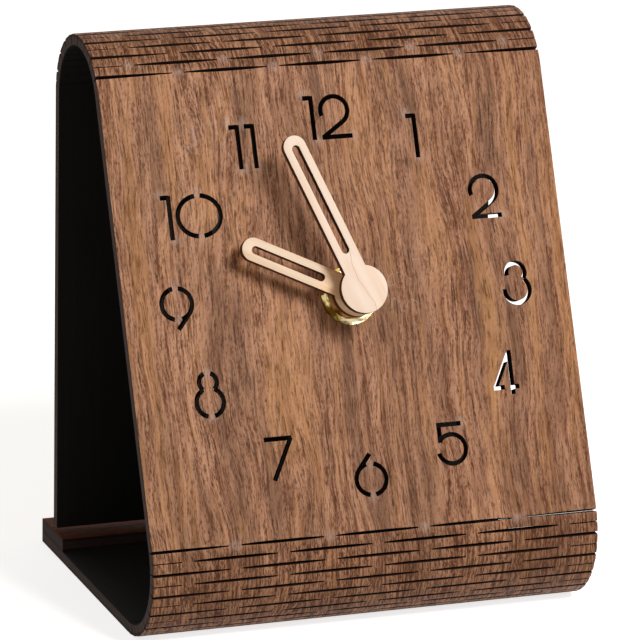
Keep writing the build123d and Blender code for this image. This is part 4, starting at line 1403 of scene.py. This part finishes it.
@dataclass
class WoodenHand:
    """A slotted wooden hand, laid out pointing along the sheet and then turned to its time."""

    name: str
    body: str
    node: str
    wood: PaleWood
    reach: float
    slot_start: float
    angle: float
    back: float
    bore: float
    bore_depth: float
    bore_step: float = 10.0
    thickness: float = 0.002
    width: float = 0.006
    hub_radius: float = 0.00615
    hub_step: float = 5.0
    slot_width: float = 0.0021
    slot_inset: float = 0.0006
    rim: float = 0.00012

    def outline(self, inset: float) -> list[Point]:
        """Draws hub and blade.

        Args:
            inset: How far inside the real outline.

        Returns:
            The outline.
        """
        half, hub = self.width / 2 - inset, self.hub_radius - inset
        neck = math.degrees(math.asin(math.sqrt(hub ** 2 - half ** 2) / hub))
        tip = arc_points((0.0, self.reach), (half, half), 0, 180)
        return tip + arc_points((0.0, 0.0), (hub, hub), 180 - neck, 360 + neck, self.hub_step)

    def slot(self, outset: float) -> list[Point]:
        """Draws the long slot.

        Args:
            outset: How far outside the real outline.

        Returns:
            The outline.
        """
        half = self.slot_width / 2 + outset
        end = arc_points((0.0, self.reach - self.slot_inset), (half, half), 0, 180)
        return end + arc_points((0.0, self.slot_start), (half, half), 180, 360)

    def fold(self) -> Fold:
        """Turns the flat hand to its time.

        Returns:
            What gives the place in the frame of a point of the flat hand.
        """
        joint = frame_joint("minute_hand_turn")
        origin = Vector(joint["pos_m"])
        out = -Vector(joint["axis"]).normalized()
        right = Vector((1.0, 0.0, 0.0))
        turn = Matrix.Rotation(math.radians(self.angle), 3, out)
        across, along = turn @ right, turn @ out.cross(right)
        front = self.back + self.thickness
        return lambda x, y, deep: origin + across * x + along * y + out * (front - deep)

    def build(self) -> None:
        """Builds the hand in its place on the dial."""
        bore = ring_points((0.0, 0.0), self.bore, self.bore_step)
        through = [bore] if self.bore_depth >= self.thickness else []
        blind = [] if through else [bore]
        sheet = CutSheet(self.outline(0.0), [self.slot(0.0), *through],
                         rings=[self.outline(self.rim), self.slot(self.rim), *blind])
        face, edge = self.wood.make(), ScorchedRim(f"{self.name}_rim").make()
        hand = sheet.solid(self.name, self.thickness, self.fold(), [face, face, edge], rim=self.rim / 2,
                           pocket=bore if blind else [], pocket_depth=self.bore_depth)
        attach(hand, self.body)
        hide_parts(self.node)


@dataclass
class DialFittings:
    """Nut, washers and sleeves on the dial's axis."""

    brass: Colour = (248, 236, 196)
    # Darker brass laid by the tarnish noise: partly tarnish, partly painted dark reflection.
    deep_brass: Colour = (130, 104, 42)

    def build(self) -> None:
        """Dresses the fittings, which keep the shape of their solids."""
        dress(DialMetal("bright_brass", self.brass, self.deep_brass, roughness=0.18),
              "hex_nut", "brass_washer", "threaded_bushing")
        dress(DialMetal("sleeve_brass", self.brass, self.deep_brass, roughness=0.26),
              "hour_hand_bushing", "minute_hand_bushing", "minute_shaft")
        dress(MouldedPlastic("black_rubber", (22, 22, 22), (34, 33, 32), roughness=0.8, spark=0.4),
              "rubber_washer")


@dataclass
class Battery:
    """The cell in its bay: a plain blue jacket shrunk over a steel can.

    The rows of jacket and cap say how far along they are, the later ones from the cell's end,
    and how far in from its side.
    """

    radius: float = 0.0071
    length: float = 0.0492
    nub_length: float = 0.0013
    nub_radius: float = 0.00275
    nub_bevel: Point = (0.0003, 0.0004)
    base_inset: float = 0.0016
    base_rows: tuple[Point, ...] = ((0.0002, 0.0014), (0.0001, 0.0007), (0.0006, 0.0))
    crimp_rows: tuple[Point, ...] = ((-0.0022, 0.0), (-0.0019, 0.00025), (-0.0014, 0.0001),
                                     (-0.0004, 0.0002), (0.0, 0.0009))
    cap_rows: tuple[Point, ...] = ((-0.0001, 0.0018), (-0.0005, 0.0020))
    turns: int = 48
    jacket: MouldedPlastic = MouldedPlastic("battery_jacket", (38, 66, 110), (28, 50, 88), roughness=0.3,
                                            spark=1.5, depth=0.004)
    steel: DialMetal = DialMetal("cell_steel", (200, 198, 192), (170, 168, 162), roughness=0.3)

    def profile(self) -> list[tuple[float, float, Layer]]:
        """Draws half the cell's section.

        Returns:
            Distance along the cell, radius, and surface of the stretch that follows.
        """
        side, end, nub = self.radius, self.length, self.nub_radius
        tip = end + self.nub_length
        bevel_length, bevel_height = self.nub_bevel
        base = [(0.0, 0.0), (0.0, side - self.base_inset)]
        jacket = [(along, side - inset) for along, inset in self.base_rows]
        jacket += [(end + along, side - inset) for along, inset in self.crimp_rows]
        cap = [(end + along, side - inset) for along, inset in self.cap_rows]
        cap += [(end - bevel_length, nub + bevel_height), (end, nub), (tip - bevel_length, nub),
                (tip, nub - bevel_height), (tip, 0.0)]
        stretches = ((base, Layer.BACK), (jacket, Layer.FRONT), (cap, Layer.BACK))
        return [(along, radius, layer) for rows, layer in stretches for along, radius in rows]

    def build(self) -> None:
        """Builds the cell around its own axis, in the place of its solid."""
        low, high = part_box("battery_cell")
        middle = (low + high) / 2
        rows = self.profile()
        angles = [2 * math.pi * index / self.turns for index in range(self.turns)]
        places = [(radius * math.cos(angle), radius * math.sin(angle), along)
                  for along, radius, _ in rows for angle in angles]
        faces, layers = [], []
        for row, (_, _, layer) in enumerate(rows[:-1]):
            here, there = row * self.turns, (row + 1) * self.turns
            for index in range(self.turns):
                after = (index + 1) % self.turns
                faces.append((here + after, here + index, there + index, there + after))
                layers.append(layer)
        cell = piece_from("battery", places, faces, layers,
                          lambda y, z, x: Vector((low.x + x, middle.y + y, middle.z + z)),
                          [self.jacket.make(), self.steel.make()])
        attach(cell, "battery_group")
        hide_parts("battery_cell")


@dataclass
class Movement:
    """The quartz movement: housing, gears, motor and circuit."""

    housing: Colour = (26, 26, 27)
    housing_worn: Colour = (36, 36, 37)

    def dress_mouldings(self) -> None:
        """Dresses what is moulded of plastic or resin."""
        dress(MouldedPlastic("case_plastic", self.housing, self.housing_worn, roughness=0.52,
                             spark=0.25, depth=0.03), "movement_case", "back_cover")
        dress(MouldedPlastic("knob_plastic", (30, 30, 31), (40, 40, 41), roughness=0.42,
                             spark=0.2, depth=0.015), "setting_knob")
        dress(MouldedPlastic("frame_plastic", (150, 152, 150), (136, 138, 137)), "frame_plate", "coil_bobbin")
        dress(MouldedPlastic("wheel_acetal", (232, 231, 222), (218, 216, 205), roughness=0.4,
                             spark=0.3, depth=0.01),
              "hour_wheel", "motion_wheel", "centre_wheel", "third_wheel", "seconds_wheel",
              "intermediate_wheel", "rotor_pinion", "setting_shaft")
        dress(MouldedPlastic("solder_mask", (22, 84, 52), (28, 98, 62), roughness=0.35,
                             spark=0.8, depth=0.01), "circuit_board")
        dress(MouldedPlastic("chip_resin", (14, 14, 15), (20, 20, 21), roughness=0.2,
                             spark=1.2, depth=0.02), "chip_cover")

    def dress_metals(self) -> None:
        """Dresses what is stamped, wound or pressed of metal."""
        dress(DialMetal("soft_iron", (178, 178, 180), (150, 150, 153), roughness=0.4,
                        mark=(0.2, 6.0, 6.0)), "stator", "coil_core")
        dress(DialMetal("nickel_strip", (205, 202, 192), (178, 175, 166), roughness=0.3,
                        mark=(0.15, 5.0, 5.0)), "positive_contact", "negative_contact", "quartz_crystal")
        dress(DialMetal("spring_steel", (168, 168, 170), (128, 128, 132), roughness=0.35), "clutch_spring")
        dress(DialMetal("sintered_magnet", (74, 74, 78), (52, 52, 56), roughness=0.55,
                        mark=(0.5, 0.5, 0.5)), "rotor_magnet")
        dress(WoundWire(), "coil_winding")

    def build(self) -> None:
        """Dresses all parts of the movement, which keep the shape of their solids."""
        self.dress_mouldings()
        self.dress_metals()


@dataclass
class Studio:
    """Pale floor, white surroundings, soft lamp and the camera."""

    azimuth: float = 20.09
    elevation: float = 16.53
    roll: float = 1.08
    distance: float = 1.43035
    aim: tuple[float, float, float] = (0.0039, 0.01005, 0.0668)
    lens_share: float = 5489.3 / 640
    sensor: float = 36.0
    farthest: float = 20.0
    key_power: float = 9.4
    key_distance: float = 1.1
    key_size: float = 0.34
    key_azimuth: float = -21.5
    key_elevation: float = 41.0
    key_aim: tuple[float, float, float] = (0.0, 0.0, 0.07)
    world_strength: float = 0.2
    room_tint: Colour = (255, 243, 226)
    floor_size: float = 6.0
    floor_shade: Colour = (226, 226, 225)
    floor_light: Colour = (230, 230, 229)
    floor_speckle: Grain = Grain((40, 40, 40))
    speckle_span: Span = (0.3, 0.7)
    seen_white: tuple[float, float, float, float] = (0.9, 0.9, 0.9, 1.0)
    seen_glow: float = 0.78

    @staticmethod
    def direction(azimuth: float, elevation: float) -> Vector:
        """Direction at these angles in degrees, from the front towards the left and above the floor."""
        turn, rise = math.radians(azimuth), math.radians(elevation)
        return Vector((-math.sin(turn) * math.cos(rise), -math.cos(turn) * math.cos(rise), math.sin(rise)))

    def camera(self) -> None:
        """Puts the camera where the photograph was taken from."""
        turn, roll = math.radians(self.azimuth), math.radians(self.roll)
        back = self.direction(self.azimuth, self.elevation)
        level = Vector((math.cos(turn), -math.sin(turn), 0.0))
        upright = back.cross(level)
        right = level * math.cos(roll) + upright * math.sin(roll)
        up = upright * math.cos(roll) - level * math.sin(roll)
        data = bpy.data.cameras.new("photo_camera")
        data.sensor_width = self.sensor
        data.lens = self.lens_share * self.sensor
        data.clip_end = self.farthest
        camera = linked("photo_camera", data)
        turned = Matrix((right, up, back)).transposed().to_4x4()
        camera.matrix_world = Matrix.Translation(Vector(self.aim) + back * self.distance) @ turned
        bpy.context.scene.camera = camera

    def key_lamp(self) -> None:
        """Adds the one soft lamp, a square that faces the clock."""
        back = self.direction(self.key_azimuth, self.key_elevation)
        data = bpy.data.lights.new("key", "AREA")
        data.energy = self.key_power
        data.size = self.key_size
        lamp = linked("key", data)
        lamp.location = Vector(self.key_aim) + back * self.key_distance
        lamp.rotation_euler = back.to_track_quat("Z", "Y").to_euler()

    def world(self) -> None:
        """White surroundings that light the clock softly."""
        world = bpy.data.worlds.new("white_studio")
        world.use_nodes = True
        bpy.context.scene.world = world
        nodes = Wiring(world.node_tree)
        seen = nodes.seen()
        background = nodes.tree.nodes["Background"]
        nodes.put(background.inputs["Color"], nodes.mix(seen, self.room_tint, WHITE))
        nodes.put(background.inputs["Strength"], nodes.band(seen, 0.0, 1.0, self.world_strength, 1.0))

    def floor(self) -> None:
        """Pale floor that looks white where no shadow falls."""
        half = self.floor_size / 2
        mesh = bpy.data.meshes.new("floor")
        corners = [(x, y, 0.0) for x, y in rectangle(-half, half, -half, half)]
        mesh.from_pydata(corners, [], [(0, 1, 2, 3)])
        sheet = NodeSheet("pale_floor")
        speckle = sheet.band(sheet.noise(sheet.solid_place(), self.floor_speckle), *self.speckle_span)
        plain = sheet.mix(speckle, self.floor_shade, self.floor_light)
        mesh.materials.append(sheet.done(plain, roughness=0.8, Specular_IOR_Level=0.1))
        matt = sheet.add("BsdfDiffuse", self.seen_white).outputs[0]
        glow = sheet.add("Emission", linear(WHITE), self.seen_glow).outputs[0]
        lit = sheet.add("AddShader", matt, glow).outputs[0]
        choice = sheet.add("MixShader", sheet.seen(), sheet.surface.outputs[0], lit).outputs[0]
        sheet.put(sheet.tree.nodes["Material Output"].inputs["Surface"], choice)
        floor = linked("floor", mesh)

    def build(self) -> None:
        """Sets up the whole studio."""
        for part in (self.camera, self.world, self.floor, self.key_lamp):
            part()
        bpy.context.scene.view_settings.view_transform = "Standard"


def main() -> None:
    """Builds the studio, then the clock in it piece by piece."""
    logging.basicConfig(level=logging.INFO)
    board = BentBoard()
    hour_wood = PaleWood("hour_hand_face", cream=(242, 216, 190), tan=(218, 176, 134), hub_reach=7.5)
    minute_wood = PaleWood("minute_hand_face", has_hairline=True)
    hour_hand = WoodenHand("hour_hand_wood", "hour_hand_group", "hour_hand", hour_wood, reach=0.0292,
                           slot_start=0.0102, angle=63.6, back=0.0046, bore=0.0032, bore_depth=0.002)
    minute_hand = WoodenHand("minute_hand_wood", "minute_hand_group", "minute_hand", minute_wood,
                             reach=0.0398, slot_start=0.01105, angle=20.5, back=0.0104, bore=0.0023,
                             bore_depth=0.0012)
    pieces = {"studio": Studio(), "bent board": board, "foot strip": FootStrip(board),
              "hour hand": hour_hand, "minute hand": minute_hand, "dial fittings": DialFittings(),
              "movement": Movement(), "battery": Battery()}
    for name, piece in pieces.items():
        piece.build()
        log.info("built the %s", name)


if __name__ == "__main__":
    main()
